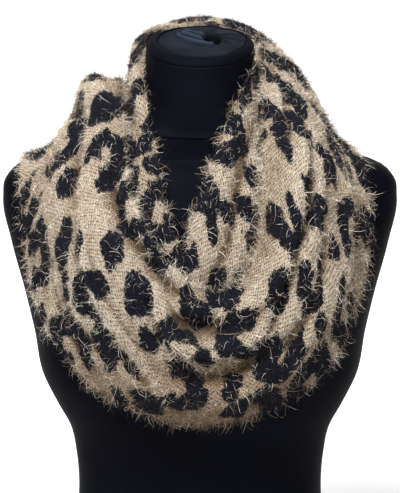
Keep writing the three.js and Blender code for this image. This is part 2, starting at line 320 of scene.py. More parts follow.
@dataclass(frozen=True)
class Stretch:
    """A visible stretch of the scarf: its ends in degrees of turn, its mesh and its hairs.

    inside is the share of the hairs that grow on its inner face.
    """

    node: str
    start: float
    end: float
    along: int
    across: int
    hairs: int
    fuzz: int
    inside: float


STRETCHES = (
    Stretch("neck_wrap", -110, 110, 260, 52, 10000, 27000, 0.1),
    Stretch("back_under", 110, 235, 130, 54, 6500, 20000, 0.04),
    Stretch("chest_wrap", 235, 470, 420, 100, 28000, 98000, 0.03),
    Stretch("back_over", 470, 610, 150, 58, 9500, 24000, 0.2),
)


@dataclass(frozen=True)
class ClothSizes:
    """Sizes of the knitted cloth, in millimetres, and its winding in degrees.

    seat is how far off the form its middle lies at least, and softness how gently it comes to
    lie there. hollow_reach is how far around a point a hollow is measured. fold_ease is the share
    of a fold's length over which it rises and falls, and bell makes p (1 - p)^2 one at its top.
    low is the height below which painted shade darkens the cloth, and over how many millimetres.
    """

    half_wall: float = 1.25
    seat: float = 1.9
    softness: float = 2.4
    winding: float = 720.0
    hollow_reach: float = 9.0
    fold_ease: float = 0.32
    bell: float = 6.75
    low: tuple[float, float] = (450.0, 110.0)


@dataclass(frozen=True)
class EaseSizes:
    """How points are moved off the form.

    near is the form's level up to which they are moved, steepest the limit of the soft plus,
    rounds how often they are moved, and least and most the limits of a move in millimetres.
    """

    near: float = 2.2
    steepest: float = 30.0
    rounds: int = 3
    least: float = -5.0
    most: float = 25.0


@dataclass(frozen=True)
class HairSizes:
    """Hairs of the yarn: sizes in millimetres, curl in degrees, lean and shares from 0 to 1.

    lengths are the two numbers of the beta chance between least and most. loose, beyond and
    combed weigh how far a hair strays, points past an edge and lies along the strip. rise and
    side are the least that its start and its curl may turn away from the cloth. root is how deep
    it starts, and taper how much of its width is gone at its tip.
    """

    least: float = 5.0
    most: float = 24.0
    width: float = 0.3
    curl: tuple[float, float] = (60.0, 230.0)
    lift: tuple[float, float] = (0.1, 0.75)
    sag: float = 0.1
    at_edges: float = 0.24
    dark_share: float = 0.8
    combed: float = 0.0
    steps: int = 5
    lengths: tuple[float, float] = (1.3, 2.4)
    loose: float = 0.8
    beyond: float = 0.9
    rise: float = 0.1
    side: float = -0.2
    root: float = 0.4
    taper: float = 0.75


LONG_HAIRS = HairSizes()
FUZZ = HairSizes(
    least=2.2, most=5.4, width=0.44, curl=(20.0, 80.0), lift=(0.04, 0.4), sag=0.0,
    at_edges=0.03, dark_share=1.0, steps=2, combed=0.9,
)


@dataclass(frozen=True)
class ToneSizes:
    """How a hair's tone is drawn: a power of chance, and shares of hollow and low as painted shade.

    most is the tone of the deepest light hair and dark that of a black one. scatter is how far
    the black ones stray past a spot's edge, in millimetres.
    """

    power: float = 1.3
    hollow: float = 0.7
    low: float = 0.4
    most: float = 0.95
    dark: float = 1.2
    scatter: float = 0.7


@dataclass(frozen=True)
class FormSizes:
    """Sizes of the dress form, in millimetres, how its seams lean, and its rings.

    foot_rise are the lowest levels, and body_levels the first and last even one. seam_ring gives
    how high each ring of the neck's seam lies and how far it stands out. shoulder_start and
    neck_start are how far up the first ring after them lies, as a share.
    """

    seam_height: float = 621.0
    seam_slope: float = 0.4
    neck_top: float = 684.0
    cap_top: float = 692.0
    top_slope: float = 0.287
    gap: float = 0.33
    around: int = 160
    foot_rise: tuple[float, ...] = (0, 0.01, 0.5, 2)
    body_levels: tuple[float, float] = (6, 580)
    body_rings: int = 140
    shoulder_rings: int = 24
    shoulder_start: float = 0.04
    shoulder_power: float = 0.8
    seam_ring: tuple[tuple[float, float], ...] = (
        (0.0, -0.6), (0.3, 0.5), (1.0, 1.0), (2.2, 1.1), (3.2, 0.8), (4.6, 0.0),
    )
    neck_rings: int = 30
    neck_start: float = 0.08


# Shapes


class FormShape:
    """The dress form as a rounded shape that changes with height."""

    def __init__(self, sections: Sequence[FormSection]) -> None:
        """Joins the level sections by a smooth curve.

        Args:
            sections: the level sections, from the base up.
        """
        self.curve = Curve(
            [s.z for s in sections], [(s.half, s.front, s.back, s.power) for s in sections]
        )

    def level(self, p: Array) -> Array:
        """One on the surface, less inside: (|x/half|^power + |y/depth|^power)^(1/power).

        Args:
            p: points, with x, y and z on the last axis.

        Returns:
            The level of each point.
        """
        half, front, back, power = np.moveaxis(self.curve.at(p[..., 2]), -1, 0)
        depth = np.where(p[..., 1] < 0, front, back)
        across = np.abs(p[..., 0] / half) ** power
        return (across + np.abs(p[..., 1] / depth) ** power) ** (1 / power)

    def gap(self, p: Array) -> tuple[Array, Array]:
        """Distance to the surface, as (level - 1) over the length of its gradient.

        Args:
            p: points, with x, y and z on the last axis.

        Returns:
            The distances, and the outward directions.
        """
        step = 0.5
        shifts = np.eye(3) * step
        gradient = np.stack(
            [(self.level(p + d) - self.level(p - d)) / (2 * step) for d in shifts], -1
        )
        size = np.linalg.norm(gradient, axis=-1) + 1e-9
        return (self.level(p) - 1) / size, gradient / size[..., None]

    def ease_off(self, p: Array, seat: float, softness: float) -> Array:
        """Moves points near the form outwards, to seat plus the soft plus of what is over it.

        Args:
            p: points, with x, y and z on the last axis.
            seat: least distance to the form.
            softness: how gently the cloth comes to lie on it.

        Returns:
            The moved points.
        """
        size = EaseSizes()
        out = p.reshape(-1, 3).copy()
        near = np.flatnonzero(self.level(out) < size.near)
        distance, outward = self.gap(out[near])
        over = np.clip((distance - seat) / softness, -size.steepest, size.steepest)
        wanted = seat + softness * np.log1p(np.exp(over))
        for _ in range(size.rounds):
            out[near] += outward * np.clip(wanted - distance, size.least, size.most)[:, None]
            distance, outward = self.gap(out[near])
        return out.reshape(p.shape)

    def ring(self, angle: Array, middle: float, slope: float, spread: float = 0.0) -> Array:
        """Points round the form, on a ring that rises by slope towards the back.

        Args:
            angle: angles round the form, in radians.
            middle: height of the ring at the middle of the form.
            slope: rise towards the back.
            spread: distance outside the form.

        Returns:
            The points, with x, y and z on the last axis.
        """
        c, s = np.cos(angle), np.sin(angle)
        z = np.full_like(angle, middle)
        rounds = 12
        for _ in range(rounds):
            half, front, back, power = np.moveaxis(self.curve.at(z), -1, 0)
            depth = np.where(s < 0, front, back)
            x = (half + spread) * np.sign(c) * np.abs(c) ** (2 / power)
            y = (depth + spread) * np.sign(s) * np.abs(s) ** (2 / power)
            z = middle + slope * y
        return np.stack([x, y, z], -1)


class StripShape:
    """The scarf's strip of cloth along its two turns, with its folds."""

    def __init__(self, form: FormShape, sizes: ClothSizes) -> None:
        """Joins the sections into a closed loop.

        Args:
            form: what the cloth lies on.
            sizes: sizes of the cloth.
        """
        self.form = form
        self.sizes = sizes
        rows = [(s.turn, (*s.rim, *s.hem, s.crest, s.belly)) for s in STRIP_SECTIONS]
        ends = 3
        before = [(turn - sizes.winding, row) for turn, row in rows[-ends:]]
        after = [(turn + sizes.winding, row) for turn, row in rows[:ends]]
        joined = before + rows + after
        self.curve = Curve([turn for turn, _ in joined], [row for _, row in joined])

    def sections(self, turn: Array) -> Array:
        """The strip's rim, hem, crest and belly at each turn, as eight numbers."""
        return self.curve.at(np.mod(turn + 180, self.sizes.winding) - 180)

    def ruled(self, turn: Array, place: Array) -> Array:
        """The straight line from rim to hem, before the cloth stands out from it."""
        row = self.sections(turn)
        return row[..., :3] + (row[..., 3:6] - row[..., :3]) * place[..., None]

    def folds(self, turn: Array, place: Array, width: Array) -> tuple[Array, Array]:
        """Sum of the folds: each is its height times a bell across it and a soft ease along it.

        Args:
            turn: degrees of turn.
            place: place across the strip.
            width: width of the strip at each turn.

        Returns:
            The height of the folds, and how far they droop.
        """
        height = np.zeros_like(turn)
        droop = np.zeros_like(turn)
        for fold in FOLDS:
            middle = (fold.start + fold.end) / 2
            near = np.mod(turn - middle + 360, self.sizes.winding) - 360 + middle
            u = np.clip((near - fold.start) / (fold.end - fold.start), 0, 1)
            pull = 2 * fold.middle - (fold.first + fold.last) / 2
            centre = fold.first * (1 - u) ** 2 + 2 * u * (1 - u) * pull + fold.last * u * u
            soft = (fold.end - fold.start) * self.sizes.fold_ease
            ease = np.clip((near - fold.start) / soft, 0, 1)
            ease = smooth_step(ease * np.clip((fold.end - near) / soft, 0, 1))
            share = ease * np.exp(-(((place - centre) * width / fold.width) ** 2))
            height += fold.height * share
            droop += fold.droop * share
        return height, droop

    def points(self, turn: Array, place: Array) -> Array:
        """Middle of the wall: the ruled line, raised by crest, belly and folds, eased off the form.

        The crest counts bell p (1 - p)^2 at a place p, and the belly bell p^2 (1 - p), which are
        both one at their highest.

        Args:
            turn: degrees of turn.
            place: place across the strip, 0 at the rim and 1 at the hem.

        Returns:
            The points, with x, y and z on the last axis.
        """
        row = self.sections(turn)
        rim, fall = row[..., :3], row[..., 3:6] - row[..., :3]
        half = 0.5
        along = self.ruled(turn + half, place) - self.ruled(turn - half, place)
        outward = unit(np.cross(fall, along))
        width = np.linalg.norm(fall, axis=-1)
        height, droop = self.folds(turn, place, width)
        high = self.sizes.bell * place * (1 - place) ** 2
        low = self.sizes.bell * place**2 * (1 - place)
        raised = rim + fall * (place + droop / width)[..., None]
        stand = row[..., 6] * high + row[..., 7] * low + height
        out = raised + outward * stand[..., None]
        return self.form.ease_off(out, self.sizes.seat, self.sizes.softness)

    def grid(self, start: float, end: float, along: int, across: int) -> "ClothGrid":
        """An even grid over a stretch of the strip.

        Args:
            start: first degree of turn.
            end: last degree of turn.
            along: steps along the strip.
            across: steps across it.

        Returns:
            The grid, with points, normals and flat sizes.
        """
        step = (end - start) / along
        turns = start + step * np.arange(-1, along + 2)
        turn, place = np.meshgrid(turns, np.linspace(0, 1, across + 1), indexing="ij")
        p = self.points(turn, place)
        normal = unit(np.cross(np.gradient(p, axis=1), np.gradient(p, axis=0)))
        down = np.linalg.norm(np.diff(p, axis=1), axis=-1)
        down = np.concatenate([np.zeros((len(turns), 1)), np.cumsum(down, axis=1)], axis=1)
        side = np.linalg.norm(np.diff(p, axis=0), axis=-1)
        side = np.concatenate([np.zeros((1, across + 1)), np.cumsum(side, axis=0)], axis=0)
        keep = slice(1, -1)
        return ClothGrid(turn[keep], place[keep], p[keep], normal[keep], side[keep], down[keep])


@dataclass(frozen=True)
class ClothGrid:
    """Points of the cloth on a grid, along the strip first and across it second."""

    turn: Array
    place: Array
    points: Array
    normal: Array
    side: Array
    down: Array

    @property
    def cut(self) -> tuple[float, float]:
        """Width and length of the flat cloth, in millimetres."""
        return float(self.down[:, -1].mean()), float(self.side[-1].mean())

    @property
    def low(self) -> Array:
        """One low on the chest, where painted shade darkens the cloth, and zero higher up."""
        height, reach = ClothSizes().low
        return smooth_step((height - self.points[..., 2]) / reach)

    def hollow(self, reach: float) -> Array:
        """How far the cloth around a point stands over it, over half the reach, from -1 to 1.

        Args:
            reach: how far away the cloth around it is taken, in millimetres.

        Returns:
            The depth at each point: above zero in a valley and below zero on a ridge.
        """
        depth = np.zeros(self.place.shape)
        for axis, lengths in ((0, self.side[-1]), (1, self.down[:, -1])):
            count = self.points.shape[axis] - 1
            hops = max(1, round(reach * count / float(lengths.mean())))
            index = np.arange(count + 1)
            ahead = self.points.take(np.minimum(index + hops, count), axis)
            behind = self.points.take(np.maximum(index - hops, 0), axis)
            both = (ahead + behind) / 2 - self.points
            depth += (both * self.normal).sum(-1)
        return np.tanh(depth * 2 / reach)


@dataclass(frozen=True)
class CameraPlace:
    """Where the photo was taken from, in millimetres and degrees.

    high is how many millimetres the picture shows at the target, sensor the height of the
    camera's sensor in millimetres, and far how many metres away it still sees.
    """

    distance: float = 1700.0
    elevation: float = 10.0
    target: tuple[float, float, float] = (0.0, -30.0, 488.0)
    high: float = 493.0
    sensor: float = 36.0
    far: float = 50.0

    @property
    def way(self) -> Array:
        """Direction from the target to the camera."""
        lift = math.radians(self.elevation)
        return np.array([0.0, -math.cos(lift), math.sin(lift)])

    @property
    def place(self) -> Array:
        """Where the camera stands."""
        return np.array(self.target) + self.way * self.distance


# Meshes


def make_mesh(
    name: str,
    points: Array,
    faces: Array,
    normals: Array | None = None,
    fields: dict[str, Array] | None = None,
    uv: Array | None = None,
) -> bpy.types.Object:
    """A mesh object from arrays, at the origin, unturned and unscaled.

    Args:
        name: name of the piece.
        points: vertices in millimetres.
        faces: vertex numbers, three or four to a face.
        normals: a normal for each vertex, or None to leave them to the faces.
        fields: named numbers for each vertex.
        uv: flat place of each vertex.

    Returns:
        The object, linked to the scene.
    """
    mesh = bpy.data.meshes.new(name)
    corners = faces.shape[1]
    mesh.vertices.add(len(points))
    mesh.vertices.foreach_set("co", (points * MM).astype(np.float32).ravel())
    mesh.loops.add(faces.size)
    mesh.loops.foreach_set("vertex_index", faces.astype(np.int32).ravel())
    mesh.polygons.add(len(faces))
    mesh.polygons.foreach_set("loop_start", np.arange(0, faces.size, corners, dtype=np.int32))
    mesh.polygons.foreach_set("use_smooth", np.ones(len(faces), bool))
    mesh.update(calc_edges=True)
    for key, values in (fields or {}).items():
        layer = mesh.attributes.new(key, "FLOAT", "POINT")
        layer.data.foreach_set("value", values.astype(np.float32).ravel())
    if uv is not None:
        layer = mesh.uv_layers.new(name="flat")
        layer.data.foreach_set("uv", uv[faces.ravel()].astype(np.float32).ravel())
    if normals is not None:
        mesh.normals_split_custom_set_from_vertices(normals.astype(np.float32))
    obj = bpy.data.objects.new(name, mesh)
    bpy.context.scene.collection.objects.link(obj)
    LOG.info("%s: %d faces", name, len(faces))
    return obj


def grid_faces(rows: int, columns: int) -> Array:
    """Four-cornered faces over a grid whose rows close on themselves.

    Args:
        rows: number of rows.
        columns: number of points in a row, joined round.

    Returns:
        Vertex numbers, four to a face.
    """
    i = np.arange(rows - 1)[:, None]
    j = np.arange(columns)[None, :]
    k, n = i + 1, (j + 1) % columns
    quads = [i * columns + j, i * columns + n, k * columns + n, k * columns + j]
    return np.stack(np.broadcast_arrays(*quads), -1).reshape(-1, 4)


# Shader nodes


class Tree:
    """A material's node tree, with one method that makes any node."""

    def __init__(self, name: str) -> None:
        """Starts a material with a Principled shader.

        Args:
            name: name of the material.
        """
        self.material = bpy.data.materials.new(name)
        self.material.use_nodes = True
        self.tree = self.material.node_tree
        self.shader = self.tree.nodes["Principled BSDF"]

    def node(self, kind: str, inputs: dict | None = None, **settings) -> bpy.types.Node:
        """A node with its settings and inputs.

        Args:
            kind: the node's type.
            inputs: input name or number to a value, a field or a socket.
            settings: attributes of the node.

        Returns:
            The node.
        """
        made = self.tree.nodes.new(kind)
        for key, value in settings.items():
            setattr(made, key, value)
        for key, value in (inputs or {}).items():
            self.feed(made.inputs[key], value)
        return made

    def feed(self, socket: bpy.types.NodeSocket, value: "Field | Colour | float") -> None:
        """Links a field or a socket to a socket, or sets its number or colour.

        Args:
            socket: the socket that takes it.
            value: what it takes.
        """
        if isinstance(value, Field):
            value = value.socket
        if isinstance(value, bpy.types.NodeSocket):
            self.tree.links.new(value, socket)
        else:
            socket.default_value = value

    def set(self, **values) -> None:
        """Sets or feeds the Principled shader's inputs, named with underscores for spaces."""
        for key, value in values.items():
            self.feed(self.shader.inputs[key.replace("_", " ")], value)

    def attribute(self, name: str) -> "Field":
        """A number that the mesh holds for each vertex."""
        return Field(self, self.node("ShaderNodeAttribute", attribute_name=name).outputs["Fac"])

    def flat(self) -> tuple["Field", "Field"]:
        """Reads the flat place on the cloth.

        Returns:
            The places along the cloth and across it, in millimetres.
        """
        uv = self.node("ShaderNodeUVMap", uv_map="flat").outputs[0]
        parts = self.node("ShaderNodeSeparateXYZ", {0: uv})
        return Field(self, parts.outputs[0]), Field(self, parts.outputs[1])

    def noise(self, size: float, detail: float = 2.0) -> "Field":
        """Noise between -1 and 1 over the object.

        Args:
            size: size of its lumps, in millimetres.
            detail: how many finer layers it has.

        Returns:
            The noise.
        """
        place = self.node("ShaderNodeTexCoord").outputs["Object"]
        made = self.node(
            "ShaderNodeTexNoise", {"Vector": place, "Scale": 1 / (size * MM), "Detail": detail}
        )
        return Field(self, made.outputs[0]) * 2.0 - 1.0

    def noise_at(self, x: "Field", y: "Field") -> "Field":
        """Noise between -1 and 1 over the plane of two numbers, with lumps of one.

        Args:
            x: the first number.
            y: the second.

        Returns:
            The noise.
        """
        place = self.node("ShaderNodeCombineXYZ", {0: x, 1: y}).outputs[0]
        made = self.node("ShaderNodeTexNoise", {"Vector": place, "Scale": 1.0, "Detail": 1.0})
        return Field(self, made.outputs[0]) * 2.0 - 1.0

    def mix(self, share: "Field", low: Colour, high: Colour) -> bpy.types.NodeSocket:
        """Mixes two colours.

        Args:
            share: how much of the second there is, from 0 to 1.
            low: the first colour.
            high: the second.

        Returns:
            The socket where the colour comes out.
        """
        made = self.node("ShaderNodeMix", data_type="RGBA")
        self.feed(made.inputs[0], share)
        self.feed(made.inputs[6], low)
        self.feed(made.inputs[7], high)
        return made.outputs[2]

    def bump(self, height: "Field", distance: float) -> None:
        """Feeds the shader's normal with relief of that many millimetres."""
        made = self.node(
            "ShaderNodeBump", {"Height": height, "Distance": distance * MM, "Strength": 1.0}
        )
        self.set(Normal=made.outputs[0])


class Field:
    """A number that changes over a surface. The usual signs join it to others by Math nodes."""

    def __init__(self, tree: Tree, socket: bpy.types.NodeSocket) -> None:
        """Keeps the tree and the socket.

        Args:
            tree: the tree that the number belongs to.
            socket: where it comes out.
        """
        self.tree = tree
        self.socket = socket

    def math(self, operation: str, *others: "Field | float") -> "Field":
        """A Math node of this number and others.

        Args:
            operation: the node's operation.
            others: the numbers after this one.

        Returns:
            The outcome.
        """
        made = self.tree.node("ShaderNodeMath", operation=operation)
        for socket, value in zip(made.inputs, (self, *others)):
            self.tree.feed(socket, value)
        return Field(self.tree, made.outputs[0])

    def reflected(self, operation: str, other: float) -> "Field":
        """A Math node of a plain number first and this one second."""
        made = self.tree.node("ShaderNodeMath", {0: other, 1: self}, operation=operation)
        return Field(self.tree, made.outputs[0])

    def __add__(self, other: "Field | float") -> "Field":
        """Sum."""
        return self.math("ADD", other)

    __radd__ = __add__

    def __mul__(self, other: "Field | float") -> "Field":
        """Product."""
        return self.math("MULTIPLY", other)

    __rmul__ = __mul__

    def __sub__(self, other: "Field | float") -> "Field":
        """Difference."""
        return self.math("SUBTRACT", other)

    def __rsub__(self, other: float) -> "Field":
        """Difference, with the plain number first."""
        return self.reflected("SUBTRACT", other)

    def __truediv__(self, other: "Field | float") -> "Field":
        """Quotient."""
        return self.math("DIVIDE", other)

    def wave(self) -> "Field":
        """Cosine of so many whole turns, from -1 to 1."""
        return (self * (2 * math.pi)).math("COSINE")

    def ramp(self, low: float, high: float) -> "Field":
        """A soft rise from 0 at low to 1 at high."""
        made = self.tree.node(
            "ShaderNodeMapRange",
            {"Value": self, "From Min": low, "From Max": high},
            interpolation_type="SMOOTHSTEP",
        )
        return Field(self.tree, made.outputs[0])


# Finishes


class Tint(Enum):
    """Colours, as linear red, green, blue and alpha."""

    # Painted light: the camel as lit, on ridges and on the inner face.
    CAMEL_LIT = (0.47, 0.39, 0.295, 1.0)
    CAMEL = (0.34, 0.26, 0.18, 1.0)
    # Painted shade low on the chest.
    CAMEL_LOW_SHADE = (0.26, 0.16, 0.088, 1.0)
    # Painted shade deep in valleys; also the dark specks of the yarn.
    CAMEL_SHADE_AND_SPECK = (0.1, 0.062, 0.034, 1.0)
    # Painted shade in the holes between stitches.
    STITCH_HOLE_SHADE = (0.035, 0.024, 0.015, 1.0)
    SPOT = (0.003, 0.0034, 0.0075, 1.0)
    # Lighter strands of the black yarn: partly uneven yarn, partly a painted highlight.
    SPOT_STRAND_AND_SHEEN = (0.012, 0.014, 0.026, 1.0)
    HAIR_LIGHT = (0.93, 0.85, 0.72, 1.0)
    # Tan and deep hair tints come in partly by chance and partly as painted shade in valleys and
    # low on the chest.
    HAIR_TAN = (0.43, 0.31, 0.2, 1.0)
    HAIR_DEEP = (0.11, 0.072, 0.045, 1.0)
    HAIR_DARK = (0.005, 0.006, 0.012, 1.0)
    FORM = (0.0022, 0.0025, 0.0046, 1.0)
    FORM_LIGHT = (0.0034, 0.0042, 0.008, 1.0)
    # Painted shade where the cap's cloth sinks: its hole, valleys and seam.
    CAP_SUNK_SHADE = (0.0006, 0.0008, 0.0014, 1.0)
    # Painted highlight on the cap's raised folds.
    CAP_RIDGE_HIGHLIGHT = (0.026, 0.036, 0.054, 1.0)
    # The disc's blue-black tints, lighter than the shoulder: painted light on the cap's top face.
    CAP = (0.0035, 0.005, 0.0085, 1.0)
    CAP_LIGHT = (0.011, 0.0155, 0.0245, 1.0)
    FLOOR = (0.8, 0.8, 0.8, 1.0)


@dataclass(frozen=True)
class KnitFinish:
    """The knit: width of a wale and height of a course, in millimetres, and its relief.

    streak and tuft are lengths and widths of lumps in the yarn. stray is the size of the lumps
    that shift the rows along and across, and wander how far. fine, fray and cloud are sizes of
    the fuzz, of the spots' frayed edges and of slow changes. ragged is how far the spots' edges
    jump, spread how far they bleed and blur how soft they are. Each pull is how much one thing
    bends another. The pairs after them are where a tint begins and is full, and the shares say
    how much of it there is then. ridge and deep give painted light on ridges and painted shade in
    valleys, and hole gives painted shade in the holes between stitches. specks darken the yarn,
    partly by its mottled tone and partly by painted shade among its fuzz. strand lightens the
    black yarn, partly as uneven yarn and partly as a painted highlight. The share by low is
    painted shade low on the chest.
    """

    wale: float = 3.8
    course: float = 4.8
    relief: float = 0.8
    streak: tuple[float, float] = (3.6, 1.3)
    tuft: tuple[float, float] = (6.0, 2.2)
    stray: tuple[float, float] = (5.0, 6.0)
    wander: tuple[float, float] = (0.6, 0.7)
    fine: float = 1.1
    fray: float = 2.4
    cloud: float = 14.0
    ragged: float = 3.0
    spread: float = 1.5
    blur: float = 0.35
    fuzz_pull: float = 1.2
    tuft_pull: float = 0.8
    mesh_pull: float = 0.9
    cloud_pull: float = 0.12
    hole: tuple[float, float] = (0.15, 0.7)
    ridge: tuple[float, float] = (-0.35, 0.35)
    deep: tuple[float, float] = (0.1, 0.85)
    specks: tuple[float, float] = (-0.1, 0.9)
    strand: tuple[float, float] = (-0.3, 0.6)
    deep_share: float = 0.85
    speck_share: float = 0.45
    low_shade_share: float = 0.75
    hole_share: float = 0.85
    roughness: float = 0.92
    gloss: float = 0.08
    sheen: float = 0.05
    sheen_roughness: float = 0.6

    def material(self) -> bpy.types.Material:
        """Camel or black by the spot field, with a hole in the middle of each V and between them.
        The camel carries painted light on ridges and painted shade in valleys, in holes and low
        down.

        The holes lie where cos(across / wale) cos(along / course) is near one.

        Returns:
            The material.
        """
        tree = Tree("scarf_knit")
        along, across = tree.flat()
        streak = tree.noise_at(along / self.streak[0], across / self.streak[1])
        tuft = tree.noise_at(along / self.tuft[0], across / self.tuft[1])
        along = along + tree.noise(self.stray[0]) * self.wander[0]
        across = across + tree.noise(self.stray[1]) * self.wander[1]
        mesh = (across / self.wale).wave() * (along / self.course).wave()
        fuzz = tree.noise(self.fine)
        hole = (mesh + fuzz * self.fuzz_pull + tuft * self.tuft_pull).ramp(*self.hole)
        edge = tree.attribute("spot") - self.spread + mesh * self.mesh_pull
        edge = edge + tuft * self.ragged + tree.noise(self.fray, 1.0) * (self.ragged / 2)
        black = edge.ramp(self.blur, -self.blur)
        # Painted light and shade by the hollow field: lit camel on ridges, plain camel in valleys,
        # and the darkest camel deep in them.
        hollow = tree.attribute("hollow") + tree.noise(self.cloud) * self.cloud_pull
        camel = tree.mix(hollow.ramp(*self.ridge), Tint.CAMEL_LIT.value, Tint.CAMEL.value)
        deep = hollow.ramp(*self.deep) * self.deep_share
        camel = tree.mix(deep, camel, Tint.CAMEL_SHADE_AND_SPECK.value)
        # Dark specks: partly the yarn's mottled tone, partly painted shade among its fuzz.
        specks = (streak + fuzz).ramp(*self.specks) * self.speck_share
        camel = tree.mix(specks, camel, Tint.CAMEL_SHADE_AND_SPECK.value)
        # Painted shade: darker camel low on the chest.
        camel = tree.mix(tree.attribute("low") * self.low_shade_share, camel, Tint.CAMEL_LOW_SHADE.value)
        # Painted shade in the holes between stitches.
        camel = tree.mix(hole * self.hole_share, camel, Tint.STITCH_HOLE_SHADE.value)
        # The black yarn stays darkest in the stitch holes as painted shade; its lighter strands are
        # partly uneven yarn and partly a painted highlight.
        strand = (1.0 - hole) * streak.ramp(*self.strand)
        spot = tree.mix(strand, Tint.SPOT.value, Tint.SPOT_STRAND_AND_SHEEN.value)
        tree.set(Base_Color=tree.mix(black, camel, spot), Roughness=self.roughness)
        tree.set(Specular_IOR_Level=self.gloss, Sheen_Weight=self.sheen)
        tree.set(Sheen_Roughness=self.sheen_roughness)
        tree.bump(streak * 0.5 - hole, self.relief)
        return tree.material


@dataclass(frozen=True)
class HairFinish:
    """The hairs of the yarn, and the tones between which each tint comes in."""

    tan: tuple[float, float] = (0.1, 0.6)
    deep: tuple[float, float] = (0.6, 0.9)
    dark: tuple[float, float] = (0.98, 1.02)
    roughness: float = 0.6
    gloss: float = 0.2

    def material(self) -> bpy.types.Material:
        """Light or tan by the tone field, which holds painted shade as well as chance, and nearly
        black above it.

        Returns:
            The material.
        """
        tree = Tree("scarf_hair")
        tone = tree.attribute("tone")
        colour = tree.mix(tone.ramp(*self.tan), Tint.HAIR_LIGHT.value, Tint.HAIR_TAN.value)
        colour = tree.mix(tone.ramp(*self.deep), colour, Tint.HAIR_DEEP.value)
        colour = tree.mix(tone.ramp(*self.dark), colour, Tint.HAIR_DARK.value)
        tree.set(Base_Color=colour, Roughness=self.roughness, Specular_IOR_Level=self.gloss)
        return tree.material


@dataclass(frozen=True)
class JerseyFinish:
    """Smooth stretch jersey in two close tints, with patches and a thread in millimetres."""

    name: str
    dark: Tint
    light: Tint
    patch: float = 60.0
    change: tuple[float, float] = (-0.6, 0.6)
    thread: float = 0.9
    grain: float = 0.12
    roughness: float = 0.6
    gloss: float = 0.03

    def material(self) -> bpy.types.Material:
        """Fine grain of the jersey and a faint change of tint over the form.

        Returns:
            The material.
        """
        tree = Tree(self.name)
        share = tree.noise(self.patch).ramp(*self.change)
        tree.set(Base_Color=tree.mix(share, self.dark.value, self.light.value))
        tree.set(Roughness=self.roughness, Specular_IOR_Level=self.gloss)
        tree.bump(tree.noise(self.thread, 1.0), self.grain)
        return tree.material


@dataclass(frozen=True)
class CapFinish:
    """The cap's smoother cloth, with a faint gloss, a painted highlight on its raised gathers and
    painted shade where it sinks.

    ridge and valley are how high and how deep the cloth lies where the painted highlight and the
    painted shade begin and are full.
    """

    patch: float = 22.0
    change: tuple[float, float] = (-0.6, 0.6)
    ridge: tuple[float, float] = (-0.1, -0.8)
    valley: tuple[float, float] = (0.1, 0.8)
    thread: float = 0.9
    grain: float = 0.08
    roughness: float = 0.7
    gloss: float = 0.04

    def material(self) -> bpy.types.Material:
        """Blue-black on the disc as painted light on the top face, as dark as the form on the
        shoulder, with a painted highlight on raised folds and painted shade, near black, where it
        sinks.

        Returns:
            The material.
        """
        tree = Tree("cap_cloth")
        share = tree.noise(self.patch).ramp(*self.change)
        # Painted light: the top face gets a lighter blue-black than the shoulder, which keeps the
        # form's tint.
        disc = tree.mix(share, Tint.CAP.value, Tint.CAP_LIGHT.value)
        cloth = tree.mix(tree.attribute("disc"), Tint.FORM.value, disc)
        sunk = tree.attribute("sunk")
        # Painted highlight on raised folds, and painted shade, near black, where the cloth sinks.
        cloth = tree.mix(sunk.ramp(*self.ridge), cloth, Tint.CAP_RIDGE_HIGHLIGHT.value)
        tree.set(Base_Color=tree.mix(sunk.ramp(*self.valley), cloth, Tint.CAP_SUNK_SHADE.value))
        tree.set(Roughness=self.roughness, Specular_IOR_Level=self.gloss)
        tree.bump(tree.noise(self.thread, 1.0), self.grain)
        return tree.material


# The scarf and its pattern


# Painted light: this value in the hollow's place paints the inner face in the lit camel.
INNER_FACE_LIT = -0.5


